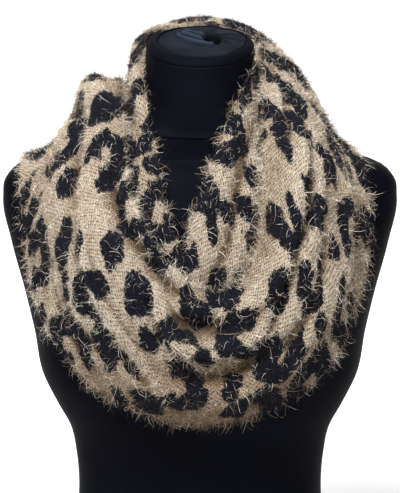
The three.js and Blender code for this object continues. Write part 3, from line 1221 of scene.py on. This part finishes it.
class Scarf:
    """The scarf: its knitted walls and the hairs on them.

    The inner face takes a fixed value in the hollow's place, which paints it in the lit camel as
    painted light.
    """

    def __init__(self, shape: StripShape, sizes: ClothSizes) -> None:
        """Keeps the shape and sizes and makes the finishes.

        Args:
            shape: the strip's shape.
            sizes: sizes of the cloth.
        """
        self.shape = shape
        self.sizes = sizes
        self.cloth = ClothMap(shape)
        self.pattern = Pattern(self.cloth)
        self.knit = KnitFinish().material()
        self.hair = HairFinish().material()
        self.random = np.random.default_rng(7)

    def build(self) -> None:
        for stretch in STRETCHES:
            grid = self.shape.grid(stretch.start, stretch.end, stretch.along, stretch.across)
            spots = self.pattern.distance(grid)
            hollow = grid.hollow(self.sizes.hollow_reach)
            wall = self.wall(stretch, grid, spots, hollow)
            hairs = self.hairs("hair_", stretch, grid, spots, hollow, stretch.hairs, LONG_HAIRS)
            fuzz = self.hairs("fuzz_", stretch, grid, spots, hollow, stretch.fuzz, FUZZ)

    def wall(
        self, stretch: Stretch, grid: ClothGrid, spots: Array, hollow: Array
    ) -> bpy.types.Object:
        """The knitted wall: an outer and an inner face, half a wall to each side of the grid.

        Each row is a loop over the outer face, the hem, the inner face and the rim. The first and
        the last row are closed by strips of faces between the two sides.

        Args:
            stretch: the stretch to build.
            grid: its points and normals.
            spots: distance to the nearest spot at each point.
            hollow: how deep each point lies.

        Returns:
            The wall's object.
        """
        half = self.sizes.half_wall
        rows, columns = grid.place.shape
        edge = unit(grid.points[:, [0, -1]] - grid.points[:, [1, -2]]) * half
        outer = grid.points + grid.normal * half
        inner = (grid.points - grid.normal * half)[:, ::-1]
        hem = grid.points[:, -1:] + edge[:, 1:]
        rim = grid.points[:, :1] + edge[:, :1]
        loop = np.concatenate([outer, hem, inner, rim], axis=1)
        normals = np.concatenate(
            [grid.normal, unit(edge[:, 1:]), -grid.normal[:, ::-1], unit(edge[:, :1])], axis=1
        )

        def spread(values: Array) -> Array:
            """Values on the grid, repeated on the inner face and both edges."""
            return np.concatenate([values, values[:, -1:], values[:, ::-1], values[:, :1]], axis=1)

        middle = np.full_like(grid.place, 0.5)
        along = self.cloth.along(grid.turn, middle)
        across = self.cloth.across(grid.turn, grid.place)
        uv = np.stack([spread(along), spread(across)], -1)
        around = loop.shape[1]
        inside = np.arange(around) > columns
        near = np.arange(columns - 1)
        far = 2 * columns - near
        strip = np.stack([near, far, far - 1, near + 1], -1)
        last = (strip + (rows - 1) * around)[:, ::-1]
        obj = make_mesh(
            "knit_" + stretch.node,
            loop.reshape(-1, 3),
            np.concatenate([grid_faces(rows, around), strip, last]),
            normals.reshape(-1, 3),
            {
                "spot": spread(spots),
                # hollow carries the painted light and shade of the camel; the inner face gets
                # painted light.
                "hollow": np.where(inside, INNER_FACE_LIT, spread(hollow)),
                # low carries the painted shade low on the chest.
                "low": spread(grid.low),
            },
            uv.reshape(-1, 2),
        )
        obj.data.materials.append(self.knit)
        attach(obj, "root")
        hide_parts(stretch.node)
        return obj

    def hairs(
        self,
        kind: str,
        stretch: Stretch,
        grid: ClothGrid,
        spots: Array,
        hollow: Array,
        count: int,
        size: HairSizes,
    ) -> bpy.types.Object:
        """Hairs, each a thin ribbon with a pointed end that leaves the cloth and curls over.

        Args:
            kind: what the piece's name begins with.
            stretch: the stretch that they grow on.
            grid: its points and normals.
            spots: distance to the nearest spot at each point.
            hollow: how deep each point lies.
            count: number of hairs.
            size: their sizes.

        Returns:
            The object that holds all of them.
        """
        count = count
        roots = Roots(grid, count, size.at_edges, stretch.inside, self.random)
        path = self.curls(roots, count, size)
        forward = unit(np.diff(path, axis=1))
        flat = unit(np.cross(forward[:, :1], unit(self.random.normal(size=(count, 1, 3)))))
        along = np.linspace(0, 1, size.steps)[None, :-1, None]
        wide = flat * (size.width / 2 * (1 - size.taper * along**2))
        body = np.stack([path[:, :-1] - wide, path[:, :-1] + wide], axis=2).reshape(count, -1, 3)
        points = np.concatenate([body, path[:, -1:]], axis=1)
        corners = points.shape[1]
        step = np.arange(corners - 2)
        order = np.stack([step, step + 1 + step % 2, step + 2 - step % 2], -1)
        faces = (np.arange(count)[:, None, None] * corners + order).reshape(-1, 3)
        over = roots.sample(spots[..., None])[:, 0] - KnitFinish().spread
        shade = ToneSizes()
        over = over + self.random.normal(size=count) * shade.scatter
        tone = self.random.random(count) ** shade.power
        # Painted shade: hairs in valleys and low on the chest get darker tones.
        tone = tone + roots.sample(hollow[..., None])[:, 0] * shade.hollow
        tone = tone + roots.sample(grid.low[..., None])[:, 0] * shade.low
        tone = np.clip(tone, 0, shade.most)
        black = (over < 0) & (self.random.random(count) < size.dark_share)
        tone = np.where(black, shade.dark, tone)
        fields = {"tone": np.repeat(tone, corners)}
        obj = make_mesh(kind + stretch.node, points.reshape(-1, 3), faces, fields=fields)
        obj.data.materials.append(self.hair)
        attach(obj, "root")
        return obj

    def curls(self, roots: "Roots", count: int, size: HairSizes) -> Array:
        """Middle lines of the hairs: each is an arc of a circle that sags a little.

        After a share s of its length, a hair that curls through an angle a has gone
        sin(a s) / a of its length ahead, (1 - cos(a s)) / a aside, and s squared times the sag
        downwards.

        Args:
            roots: where the hairs grow.
            count: number of hairs.
            size: their sizes.

        Returns:
            Points of each hair, from its root to its tip.
        """
        pick = self.random
        lift = pick.uniform(*size.lift, (count, 1))
        loose = unit(pick.normal(size=(count, 3)))
        comb = roots.strip * np.where(pick.random((count, 1)) < 0.5, -size.combed, size.combed)
        way = unit(roots.normal * lift + loose * size.loose + roots.beyond * size.beyond + comb)
        sunk = (way * roots.normal).sum(-1, keepdims=True)
        way = unit(way + roots.normal * np.clip(size.rise - sunk, 0, 2))
        aside = unit(np.cross(way, unit(pick.normal(size=(count, 3)))))
        sunk = (aside * roots.normal).sum(-1, keepdims=True)
        aside = unit(aside + roots.normal * np.clip(size.side - sunk, 0, 2))
        length = size.least + (size.most - size.least) * pick.beta(*size.lengths, (count, 1))
        curl = np.radians(pick.uniform(*size.curl, (count, 1)))[:, :, None]
        s = np.linspace(0, 1, size.steps)[None, :, None]
        ahead = way[:, None] * np.sin(curl * s) / curl
        over = aside[:, None] * (1 - np.cos(curl * s)) / curl
        sag = np.array([0.0, 0.0, -size.sag]) * s**2
        start = roots.points - roots.normal * size.root
        return start[:, None] + length[:, None] * (ahead + over + sag)


class Roots:
    """Seeded places over both faces of the cloth, even by area, with some along its edges."""

    def __init__(
        self,
        grid: ClothGrid,
        count: int,
        at_edges: float,
        inside: float,
        pick: np.random.Generator,
    ) -> None:
        """Draws the places.

        Args:
            grid: points and normals of the cloth.
            count: how many places.
            at_edges: share of them that stand on an edge.
            inside: share of them that stand on the inner face.
            pick: the source of chance.
        """
        across = grid.points[:-1, 1:] - grid.points[:-1, :-1]
        along = grid.points[1:, :-1] - grid.points[:-1, :-1]
        chance = np.cumsum(np.linalg.norm(np.cross(along, across), axis=-1).ravel())
        chosen = np.searchsorted(chance, pick.random(count) * chance[-1])
        columns = grid.place.shape[1] - 1
        self.i, self.j = chosen // columns, chosen % columns
        self.fi, self.fj = pick.random(count)[:, None], pick.random(count)[:, None]
        edge = pick.random(count) < at_edges
        rim = pick.random(count) < 0.5
        self.j = np.where(edge, np.where(rim, 0, columns - 1), self.j)
        self.fj = np.where(edge[:, None], np.where(rim[:, None], 0.0, 1.0), self.fj)
        face = np.where(pick.random((count, 1)) < inside, -1.0, 1.0)
        self.normal = unit(self.sample(grid.normal)) * face
        self.points = self.sample(grid.points) + self.normal * ClothSizes().half_wall
        self.strip = unit(grid.points[self.i + 1, self.j] - grid.points[self.i, self.j])
        down = unit(grid.points[self.i, self.j + 1] - grid.points[self.i, self.j])
        self.beyond = np.where(rim, -1.0, 1.0)[:, None] * edge[:, None] * down

    def sample(self, values: Array) -> Array:
        """Values on the grid at the places, between its points."""
        i, j = self.i, self.j
        return between(lambda a, b: values[i + a, j + b], self.fi, self.fj)


class ClothMap:
    """Lengths measured along and across the cloth, so that the pattern keeps its size on it."""

    def __init__(self, shape: StripShape, steps: int = 720, across: int = 40) -> None:
        """Measures the whole strip on a grid of turns and places.

        Args:
            shape: the strip's shape.
            steps: steps along the strip.
            across: steps across it.
        """
        self.winding = shape.sizes.winding
        self.turns = np.linspace(-180, self.winding - 180, steps + 1)
        self.places = np.linspace(0, 1, across + 1)
        turn, place = np.meshgrid(self.turns, self.places, indexing="ij")
        self.points = shape.points(turn, place)
        side = np.linalg.norm(np.diff(self.points, axis=0), axis=-1)
        down = np.linalg.norm(np.diff(self.points, axis=1), axis=-1)
        self.side = np.concatenate([np.zeros((1, across + 1)), np.cumsum(side, axis=0)])
        self.down = np.concatenate([np.zeros((steps + 1, 1)), np.cumsum(down, axis=1)], axis=1)

    def read(self, values: Array, turn: Array, place: Array) -> Array:
        """Values of the grid at a turn and place, between its four nearest points.

        Args:
            values: numbers on the grid.
            turn: degrees of turn, from the first turn of the grid to the last.
            place: place across the strip.

        Returns:
            The numbers, of the same shape as turn and place together.
        """
        i = (turn - self.turns[0]) / (self.turns[1] - self.turns[0])
        j = place / self.places[1]
        i0 = np.clip(np.floor(i).astype(int), 0, len(self.turns) - 2)
        j0 = np.clip(np.floor(j).astype(int), 0, len(self.places) - 2)
        return between(lambda a, b: values[i0 + a, j0 + b], i - i0, j - j0)

    def along(self, turn: Array, place: Array) -> Array:
        """Length along the strip, which grows by the whole loop with each winding.

        Args:
            turn: degrees of turn.
            place: place across the strip.

        Returns:
            The lengths, in millimetres.
        """
        count = np.floor((turn - self.turns[0]) / self.winding)
        whole = self.read(self.side, np.full_like(turn, self.turns[-1]), place)
        return self.read(self.side, turn - count * self.winding, place) + count * whole

    def across(self, turn: Array, place: Array) -> Array:
        """Length across the strip, from its rim."""
        start = self.turns[0]
        return self.read(self.down, np.mod(turn - start, self.winding) + start, place)


def oval(right: Array, below: Array, wide: Array, high: Array, lean: Array) -> Array:
    """Distance to an oval's edge, below zero inside it.

    It is the distance from the middle times (1 - 1 / level), where level is one on the oval.

    Args:
        right: places right of its middle.
        below: places below it.
        wide: its full width.
        high: its full height.
        lean: how far it leans clockwise, in degrees.

    Returns:
        The distances.
    """
    turned = np.radians(lean)
    short = (right * np.cos(turned) + below * np.sin(turned)) * 2 / wide
    tall = (right * np.sin(turned) - below * np.cos(turned)) * 2 / high
    level = np.hypot(short, tall) + 1e-6
    radius = np.hypot(right, below)
    core = 0.05
    return np.where(level < core, -np.minimum(wide, high) / 2, radius - radius / level)


@dataclass(frozen=True)
class Spot:
    """A spot of the pattern, at a turn and place of the strip, with its sizes in millimetres.

    wide lies along the strip and high across it, leant clockwise by lean degrees. A spot with a
    band is a ring of that thickness, which is open over mouth degrees towards aim.
    """

    turn: float
    place: float
    wide: float
    high: float
    lean: float
    band: float
    mouth: float
    aim: float

    def distance(self, along: Array, across: Array) -> Array:
        """Distance to the spot's edge, below zero inside it.

        A ring folds an oval's distance about the middle of its band, and its mouth is cut out.

        Args:
            along: places along the cloth from the spot's middle.
            across: places across it.

        Returns:
            The distances.
        """
        edge = oval(along, across, self.wide, self.high, self.lean)
        if self.band:
            edge = np.abs(edge + self.band / 2) - self.band / 2
        if self.mouth:
            turned = np.arctan2(along, -across) - math.radians(self.aim)
            turned = np.abs(np.mod(turned + np.pi, 2 * np.pi) - np.pi)
            open_by = np.clip(math.radians(self.mouth) / 2 - turned, -np.pi / 2, np.pi / 2)
            edge = np.maximum(edge, np.hypot(along, across) * np.sin(open_by))
        return edge


@dataclass(frozen=True)
class SpotKind:
    """A kind of spot, and how many places are tried for it. Sizes are least and most."""

    tries: int
    wide: tuple[float, float]
    high: tuple[float, float]
    band: tuple[float, float] = (0.0, 0.0)
    mouth: tuple[float, float] = (0.0, 0.0)


SPOT_KINDS = (
    SpotKind(500, (46, 64), (46, 62), (16, 21), (50, 110)),
    SpotKind(2000, (27, 40), (28, 44)),
    SpotKind(800, (14, 20), (18, 28)),
)


Waves = tuple[tuple[float, float, float], ...]


@dataclass(frozen=True)
class PatternSizes:
    """How the spots lie: the least gap between them, and how far they lean as a spread.

    A spot is worked out within reach degrees of turn, and no distance is over farthest. The
    waves are height, length and how far each spot's number shifts them: they bend its outline.
    """

    seed: int = 21
    gap: float = 2.2
    lean: float = 28.0
    reach: float = 50.0
    farthest: float = 60.0
    waves_along: Waves = ((2.2, 6.0, 1.0), (1.1, 2.9, 3.0))
    waves_across: Waves = ((2.2, 7.0, 2.0), (1.1, 3.3, 5.0))


@dataclass(frozen=True)
class ToothSizes:
    """Teeth of the spots' edges: height, length along and width across, in millimetres.

    lattice is the size of the table of chance numbers, after which it repeats.
    """

    layers: Waves = ((2.6, 9.0, 3.3), (1.6, 17.0, 11.0))
    seed: int = 5
    lattice: tuple[int, int] = (97, 89)


class Pattern:
    """The spotted pattern: rings and blobs strewn by chance over the whole loop."""

    def __init__(self, cloth: ClothMap, sizes: PatternSizes = PatternSizes()) -> None:
        """Strews the spots, the largest kind first, so that smaller ones fill the gaps.

        Args:
            cloth: lengths over the cloth.
            sizes: how the spots lie.
        """
        self.cloth = cloth
        self.sizes = sizes
        self.spots: list[Spot] = []
        pick = np.random.default_rng(sizes.seed)
        for kind in SPOT_KINDS:
            for _ in range(kind.tries):
                self.strew(kind, pick)

    def strew(self, kind: SpotKind, pick: np.random.Generator) -> None:
        """Tries one spot at a chance place, and keeps it where it stands clear of the others.

        Args:
            kind: the kind of spot.
            pick: the source of chance.
        """
        turns = self.cloth.turns
        spot = Spot(
            turn=pick.uniform(turns[0], turns[-1]),
            place=pick.random(),
            wide=pick.uniform(*kind.wide),
            high=pick.uniform(*kind.high),
            lean=pick.normal(0, self.sizes.lean),
            band=pick.uniform(*kind.band),
            mouth=pick.uniform(*kind.mouth),
            aim=pick.uniform(0, 360),
        )
        if self.clearance(spot) > (spot.wide + spot.high) / 4 + self.sizes.gap:
            self.spots.append(spot)

    def clearance(self, spot: Spot) -> float:
        """Least distance over the cloth from a spot's middle to the outer edges of the others.

        Args:
            spot: the spot that is tried.

        Returns:
            The distance in millimetres, without end where there is no other spot yet.
        """
        if not self.spots:
            return math.inf
        rows = [(s.turn, s.place, s.wide, s.high, s.lean) for s in self.spots]
        turn, place, wide, high, lean = np.array(rows).T
        own_turn, own_place = np.full_like(turn, spot.turn), np.full_like(turn, spot.place)
        u, w = self.offsets(own_turn, own_place, turn, place)
        return float(oval(u, w, wide, high, lean).min())

    def offsets(
        self, turn: Array, place: Array, from_turn: Array, from_place: Array
    ) -> tuple[Array, Array]:
        """How far points lie along and across the cloth from others, the short way round.

        Args:
            turn: turns of the points.
            place: places of the points.
            from_turn: turns that they are measured from.
            from_place: places that they are measured from.

        Returns:
            Lengths along and across the cloth.
        """
        winding = self.cloth.winding
        near = np.mod(turn - from_turn + winding / 2, winding) - winding / 2
        at = from_turn + near
        u = self.cloth.along(at, place) - self.cloth.along(at - near, place)
        return u, self.cloth.across(at, place) - self.cloth.across(at, from_place)

    def distance(self, grid: ClothGrid) -> Array:
        """Distance in millimetres to the nearest spot's edge, below zero inside it.

        It is measured in lengths along and across the cloth from the spot's own middle. Sums of
        height sin(place / length + number shift) are added to them, so no outline is a true oval.

        Args:
            grid: points of the cloth.

        Returns:
            The distance at each point.
        """
        size = self.sizes
        winding = self.cloth.winding
        nearest = np.full(grid.place.shape, size.farthest)

        def bend(place: Array, waves: Waves, number: int) -> Array:
            """Sum of the waves at a place, for the spot of that number."""
            return sum(high * np.sin(place / long + number * shift) for high, long, shift in waves)

        for number, spot in enumerate(self.spots):
            near = np.mod(grid.turn[:, 0] - spot.turn + winding / 2, winding) - winding / 2
            rows = np.flatnonzero(np.abs(near) < size.reach)
            if not len(rows):
                continue
            turn, place = grid.turn[rows], grid.place[rows]
            from_turn, from_place = np.full_like(turn, spot.turn), np.full_like(turn, spot.place)
            u, w = self.offsets(turn, place, from_turn, from_place)
            bent_u = u + bend(w, size.waves_along, number)
            bent_w = w + bend(u, size.waves_across, number)
            nearest[rows] = np.minimum(nearest[rows], spot.distance(bent_u, bent_w))
        return nearest + self.teeth(grid)

    def teeth(self, grid: ClothGrid) -> Array:
        """Uneven teeth of the spots' edges: chance numbers on a lattice, mixed between its points.

        Args:
            grid: points of the cloth.

        Returns:
            The change of distance at each point, in millimetres.
        """
        sizes = ToothSizes()
        rows, columns = sizes.lattice
        table = np.random.default_rng(sizes.seed).uniform(-1, 1, sizes.lattice)
        total = np.zeros(grid.place.shape)
        u = self.cloth.along(grid.turn, np.full_like(grid.place, 0.5))
        w = self.cloth.across(grid.turn, grid.place)
        for share, along, across in sizes.layers:
            i, j = u / along, w / across
            i0, j0 = np.floor(i).astype(int), np.floor(j).astype(int)
            mixed = between(
                lambda a, b: table[(i0 + a) % rows, (j0 + b) % columns],
                smooth_step(i - i0),
                smooth_step(j - j0),
            )
            total += share * mixed
        return total


# The dress form


class DressForm:
    """The limbless dress form: body, neck and gathered cap."""

    def __init__(self, shape: FormShape, sizes: FormSizes) -> None:
        """Keeps the shape and sizes and makes the finishes.

        Args:
            shape: the form's shape.
            sizes: its sizes.
        """
        self.shape = shape
        self.sizes = sizes
        self.jersey = JerseyFinish("form_jersey", Tint.FORM, Tint.FORM_LIGHT).material()
        self.cap_cloth = CapFinish().material()

    def stack(
        self,
        name: str,
        rings: Array,
        bottom: float,
        top: float,
        fields: dict[str, Array] | None = None,
    ) -> bpy.types.Object:
        """A closed skin over a stack of rings.

        Args:
            name: name of the piece.
            rings: rings of points, from the lowest up.
            bottom: height of the point that closes it below.
            top: height of the point that closes it above.
            fields: named numbers for each point of the rings.

        Returns:
            The object.
        """
        count = rings.shape[1]
        ends = [[*rings[k, :, :2].mean(0), z] for k, z in ((0, bottom), (-1, top))]
        caps = [np.broadcast_to(end, (1, count, 3)) for end in ends]
        points = np.concatenate([caps[0], rings, caps[1]]).reshape(-1, 3)
        fields = {
            key: np.concatenate([values[:1], values, values[-1:]])
            for key, values in (fields or {}).items()
        }
        obj = make_mesh(name, points, grid_faces(len(rings) + 2, count), fields=fields)
        joined = bmesh.new()
        joined.from_mesh(obj.data)
        bmesh.ops.remove_doubles(joined, verts=joined.verts, dist=MERGE)
        joined.to_mesh(obj.data)
        joined.free()
        return obj

    def build(self) -> None:
        """Builds the body, the neck and the cap."""
        angle = np.linspace(0, 2 * np.pi, self.sizes.around, endpoint=False)
        self.body(angle)
        self.neck(angle)
        self.cap()

    def body(self, angle: Array) -> None:
        """The body: level rings up to the shoulders, which lean more and more towards the seam.

        Args:
            angle: angles round the form, in radians.
        """
        size = self.sizes
        top = size.body_levels[1]
        levels = np.concatenate([size.foot_rise, np.linspace(*size.body_levels, size.body_rings)])
        rings = [self.shape.ring(angle, z, 0.0) for z in levels]
        for share in np.linspace(size.shoulder_start, 1, size.shoulder_rings):
            middle = top + (size.seam_height - top) * share
            slope = size.seam_slope * share**size.shoulder_power
            rings.append(self.shape.ring(angle, middle, slope))
        self.finish(self.stack("form_body_skin", np.array(rings), 0, size.seam_height), "form_body")

    def neck(self, angle: Array) -> None:
        """The neck: the seam ring at its foot, then rings that lean less and less towards the top.

        Args:
            angle: angles round the form, in radians.
        """
        size = self.sizes
        foot = size.seam_height + size.gap
        seam_top = size.seam_ring[-1][0]
        rings = []
        for rise, spread in size.seam_ring:
            rings.append(self.shape.ring(angle, foot + rise, size.seam_slope, spread))
        for share in np.linspace(size.neck_start, 1, size.neck_rings):
            middle = foot + seam_top + (size.neck_top - foot - seam_top) * share
            slope = size.seam_slope + (size.top_slope - size.seam_slope) * share
            rings.append(self.shape.ring(angle, middle, slope))
        self.finish(self.stack("form_neck_skin", np.array(rings), foot, size.neck_top), "form_neck")

    def finish(self, obj: bpy.types.Object, node: str) -> None:
        """Gives a piece of the form its cloth and its place in the frame.

        Args:
            obj: the piece.
            node: the node that it stands for.
        """
        obj.data.materials.append(self.cap_cloth if node == "neck_cap" else self.jersey)
        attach(obj, "root")
        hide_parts(node)

    def cap(self) -> None:
        """The cap: a disc with a rounded shoulder and a seam, gathered into a hole with folds.

        Each ring lies between the hole's middle and the neck's outline. The shoulder is a quarter
        of an oval, and the top follows the slope of the neck.
        """
        size = self.sizes
        angle = np.linspace(0, 2 * np.pi, CAP.around, endpoint=False)
        base = size.neck_top + size.gap
        height = size.cap_top - base
        outline = self.shape.ring(angle, base, size.top_slope)[:, :2]
        middle = np.array(CAP.hole)
        curve = np.linspace(0, np.pi / 2, CAP.shoulder_rings)
        shoulder = CAP.shoulder + (1 - CAP.shoulder) * np.cos(curve)
        disc = np.linspace(CAP.shoulder, CAP.innermost, CAP.disc_rings + 1)[1:]
        shares = np.concatenate([shoulder, disc])[:, None]
        rises = np.concatenate([np.sin(curve), np.ones(CAP.disc_rings)])[:, None] * height
        place = middle + (outline[None] - middle) * shares[..., None]
        relief = CAP.relief(place[..., 0], place[..., 1], shares)
        least = rises.clip(0, CAP.least_rise)
        z = base + size.top_slope * place[..., 1] + np.maximum(rises + relief, least)
        rings = np.concatenate([place, z[..., None]], -1)
        top = float(rings[-1, :, 2].mean())
        # sunk carries painted shade where the cloth sinks and a painted highlight on raised folds;
        # disc marks the top face, painted lighter as lit.
        fields = {
            "sunk": np.clip(-relief / CAP.deepest, -1, 1),
            "disc": smooth_step((CAP.seam + CAP.blur / 2 - shares) / CAP.blur)
            * np.ones_like(relief),
        }
        self.finish(self.stack("neck_cap_skin", rings, base, top, fields), "neck_cap")


@dataclass(frozen=True)
class CapSizes:
    """The cap's gathers, in millimetres from its middle to the right and to the back.

    hole_size is half the hole's width and depth, and a level is one on that oval. hole_edge is
    the level at which the cloth starts to sink, and over how much of it. The pleats are given as
    how many go round, their shift and their share, pleat_start as level and reach of their
    rise, and pleat_reach as the level by which they die away. shoulder, seam, seam_width, blur
    and innermost are shares of the way from the hole to the outline. A relief of deepest gives
    the darkest painted shade or the lightest painted highlight.
    """

    around: int = 256
    shoulder_rings: int = 12
    disc_rings: int = 75
    innermost: float = 0.02
    least_rise: float = 0.3
    deepest: float = 4.0
    blur: float = 0.02
    hole: tuple[float, float] = (12.0, 2.0)
    hole_size: tuple[float, float] = (10.0, 16.0)
    hole_depth: float = 6.6
    hole_edge: tuple[float, float] = (1.25, 0.8)
    twist: float = 0.35
    pleats: tuple[tuple[float, float, float], ...] = ((9, 0, 0.5), (5, 1.3, 0.7))
    pleat_start: tuple[float, float] = (0.6, 0.8)
    pleat_reach: float = 2.6
    pleat_height: float = 0.9
    shoulder: float = 0.84
    seam: float = 0.82
    seam_depth: float = 2.2
    seam_width: float = 0.018
    folds: tuple[tuple[tuple[float, float], ...], ...] = (
        ((-22, 11), (-12, -2), (-4, -9), (4, -13), (12, -14)),
        ((-17, 16), (-8, 7), (-1, 1), (3, -4), (4, -9)),
        ((-14, 23), (-4, 15), (4, 11)),
    )
    fold_height: float = 3.8
    fold_width: float = 2.3
    valleys: tuple[tuple[tuple[float, float], ...], ...] = (
        ((-16, 8), (-8, 0), (0, -6)),
        ((-10, 16), (-3, 9), (3, 4), (7, 2)),
    )
    valley_depth: float = 4.5
    valley_width: float = 2.6

    def near(self, x: Array, y: Array, path: Sequence[tuple[float, float]]) -> Array:
        """Distance from each place to the nearest part of a line with corners.

        Args:
            x: places to the right of the cap's middle.
            y: places behind it.
            path: the line's corners.

        Returns:
            The distances.
        """
        best = np.full(x.shape, np.inf)
        for (ax, ay), (bx, by) in zip(path[:-1], path[1:]):
            dx, dy = bx - ax, by - ay
            share = np.clip(((x - ax) * dx + (y - ay) * dy) / (dx * dx + dy * dy), 0, 1)
            best = np.minimum(best, np.hypot(x - ax - share * dx, y - ay - share * dy))
        return best

    def swell(
        self,
        x: Array,
        y: Array,
        paths: Sequence[Sequence[tuple[float, float]]],
        width: float,
    ) -> Array:
        """A bell over the distance to the nearest of some lines: e^-(distance / width)^2.

        Args:
            x: places to the right of the cap's middle.
            y: places behind it.
            paths: the lines' corners.
            width: width of the bell.

        Returns:
            The height of the bell, one at most.
        """
        nearest = np.min([self.near(x, y, path) for path in paths], axis=0)
        return np.exp(-((nearest / width) ** 2))

    def relief(self, x: Array, y: Array, share: Array) -> Array:
        """Height over the plain disc: the hole, the folds, pleats round it and the seam.

        The pleats are a sum of sines of the angle round the hole that dies away from it.

        Args:
            x: places to the right of the cap's middle.
            y: places behind it.
            share: share of the way from the hole to the outline.

        Returns:
            The heights.
        """
        off_x, off_y = x - self.hole[0], y - self.hole[1]
        level = np.hypot(off_x / self.hole_size[0], off_y / self.hole_size[1])
        turned = np.arctan2(off_y, off_x) + level * self.twist
        pleats = sum(np.sin(turned * many + shift) * part for many, shift, part in self.pleats)
        away = smooth_step((level - self.pleat_start[0]) / self.pleat_start[1])
        away = away * np.exp(-((level / self.pleat_reach) ** 2))
        fold = self.swell(x, y, self.folds, self.fold_width) * self.fold_height
        valley = self.swell(x, y, self.valleys, self.valley_width) * self.valley_depth
        seam = np.exp(-(((share - self.seam) / self.seam_width) ** 2)) * self.seam_depth
        hole = smooth_step((self.hole_edge[0] - level) / self.hole_edge[1]) * self.hole_depth
        return pleats * away * self.pleat_height + fold - valley - seam - hole


CAP = CapSizes()


# The studio


@dataclass(frozen=True)
class Lamp:
    """A square soft light: its place, aim and side in millimetres, and its power in watts."""

    name: str
    place: tuple[float, float, float]
    aim: tuple[float, float, float]
    size: float
    power: float


LAMPS = (
    Lamp("key", (-500, -1300, 2000), (0, 0, 540), 500, 52),
    Lamp("fill", (1300, -1500, 900), (0, 0, 500), 900, 5),
    Lamp("top", (0, -300, 2100), (0, 0, 560), 900, 14),
)


@dataclass(frozen=True)
class StudioSizes:
    """The backdrop, in millimetres: its reach, its bend and where the floor starts to glow.

    glow gives places behind the object and how bright the paper is there.
    """

    reach: float = 9000.0
    bend: float = 900.0
    bend_steps: int = 16
    glow: tuple[tuple[float, float], ...] = ((250, 0.0), (800, 0.57), (1500, 1.0))
    glow_strength: float = 1.05
    roughness: float = 0.9
    sky: float = 0.12


class Studio:
    """A pale floor and backdrop, soft lights and the camera."""

    def __init__(self, sizes: StudioSizes) -> None:
        """Keeps the sizes of the backdrop."""
        self.sizes = sizes

    def build(self) -> None:
        """Builds the floor, the lights, the world and the camera."""
        self.floor()
        for lamp in LAMPS:
            self.light(lamp)
        self.camera(CameraPlace())
        scene = bpy.context.scene
        world = bpy.data.worlds.new("studio")
        world.use_nodes = True
        sky = world.node_tree.nodes["Background"]
        sky.inputs["Color"].default_value = (1, 1, 1, 1)
        sky.inputs["Strength"].default_value = self.sizes.sky
        scene.world = world
        scene.view_settings.view_transform = "Standard"
        scene.view_settings.look = "None"

    def floor(self) -> None:
        """A floor that curves up into a backdrop: a flat run, a quarter circle and a wall."""
        size = self.sizes
        tree = Tree("studio_paper")
        tree.set(Base_Color=Tint.FLOOR.value, Roughness=size.roughness)
        glow = tree.mix(tree.attribute("glow"), (0, 0, 0, 1), (1, 1, 1, 1))
        tree.set(Emission_Color=glow, Emission_Strength=size.glow_strength)
        bend = np.linspace(0, np.pi / 2, size.bend_steps)
        behind, bright = np.array(size.glow).T
        flat = [-size.reach, *behind]
        wall = size.reach + size.bend * np.sin(bend)
        y = np.concatenate([flat, wall, [size.reach + size.bend]])
        z = size.bend - size.bend * np.cos(bend)
        z = np.concatenate([np.zeros(len(flat)), z, [size.reach]])
        x = np.array([-size.reach, size.reach])
        points = np.stack([np.tile(x, len(y)), np.repeat(y, 2), np.repeat(z, 2)], -1)
        k = np.arange(len(y) - 1) * 2
        fields = {"glow": np.repeat(np.interp(y, behind, bright), 2)}
        faces = np.stack([k, k + 1, k + 3, k + 2], -1)
        obj = make_mesh("backdrop", points, faces, fields=fields)
        obj.data.materials.append(tree.material)
        obj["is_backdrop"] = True

    def light(self, lamp: Lamp) -> None:
        """Adds a light to the scene.

        Args:
            lamp: the light's sizes.
        """
        data = bpy.data.lights.new(lamp.name, "AREA")
        data.size = lamp.size * MM
        data.energy = lamp.power
        obj = bpy.data.objects.new(lamp.name, data)
        obj.location = Vector(lamp.place) * MM
        way = Vector(lamp.aim) - Vector(lamp.place)
        obj.rotation_euler = way.to_track_quat("-Z", "Y").to_euler()
        bpy.context.scene.collection.objects.link(obj)

    def camera(self, place: CameraPlace) -> None:
        """The photo's camera: its lens makes one millimetre one pixel at the target.

        Args:
            place: where it stands and what it looks at.
        """
        where = Vector(place.place)
        data = bpy.data.cameras.new("camera")
        data.sensor_fit = "VERTICAL"
        data.sensor_height = place.sensor
        data.lens = place.distance / place.high * place.sensor
        data.clip_end = place.far
        obj = bpy.data.objects.new("camera", data)
        obj.location = where * MM
        obj.rotation_euler = (-Vector(place.way)).to_track_quat("-Z", "Y").to_euler()
        bpy.context.scene.collection.objects.link(obj)
        bpy.context.scene.camera = obj


def corners() -> list[list[float]]:
    """Lowest and highest corner of what shows, as plain lists."""
    return [[float(x) for x in corner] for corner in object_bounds()]


def main() -> None:
    """Builds the scene in order and reports on it."""
    logging.basicConfig(level=logging.INFO, format="%(message)s")
    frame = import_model()
    LOG.info("frame: %d nodes", len(frame["nodes"]))
    form = FormShape(FORM_SECTIONS)
    cloth = ClothSizes()
    DressForm(form, FormSizes()).build()
    Scarf(StripShape(form, cloth), cloth).build()
    Studio(StudioSizes()).build()


if __name__ == "__main__":
    main()
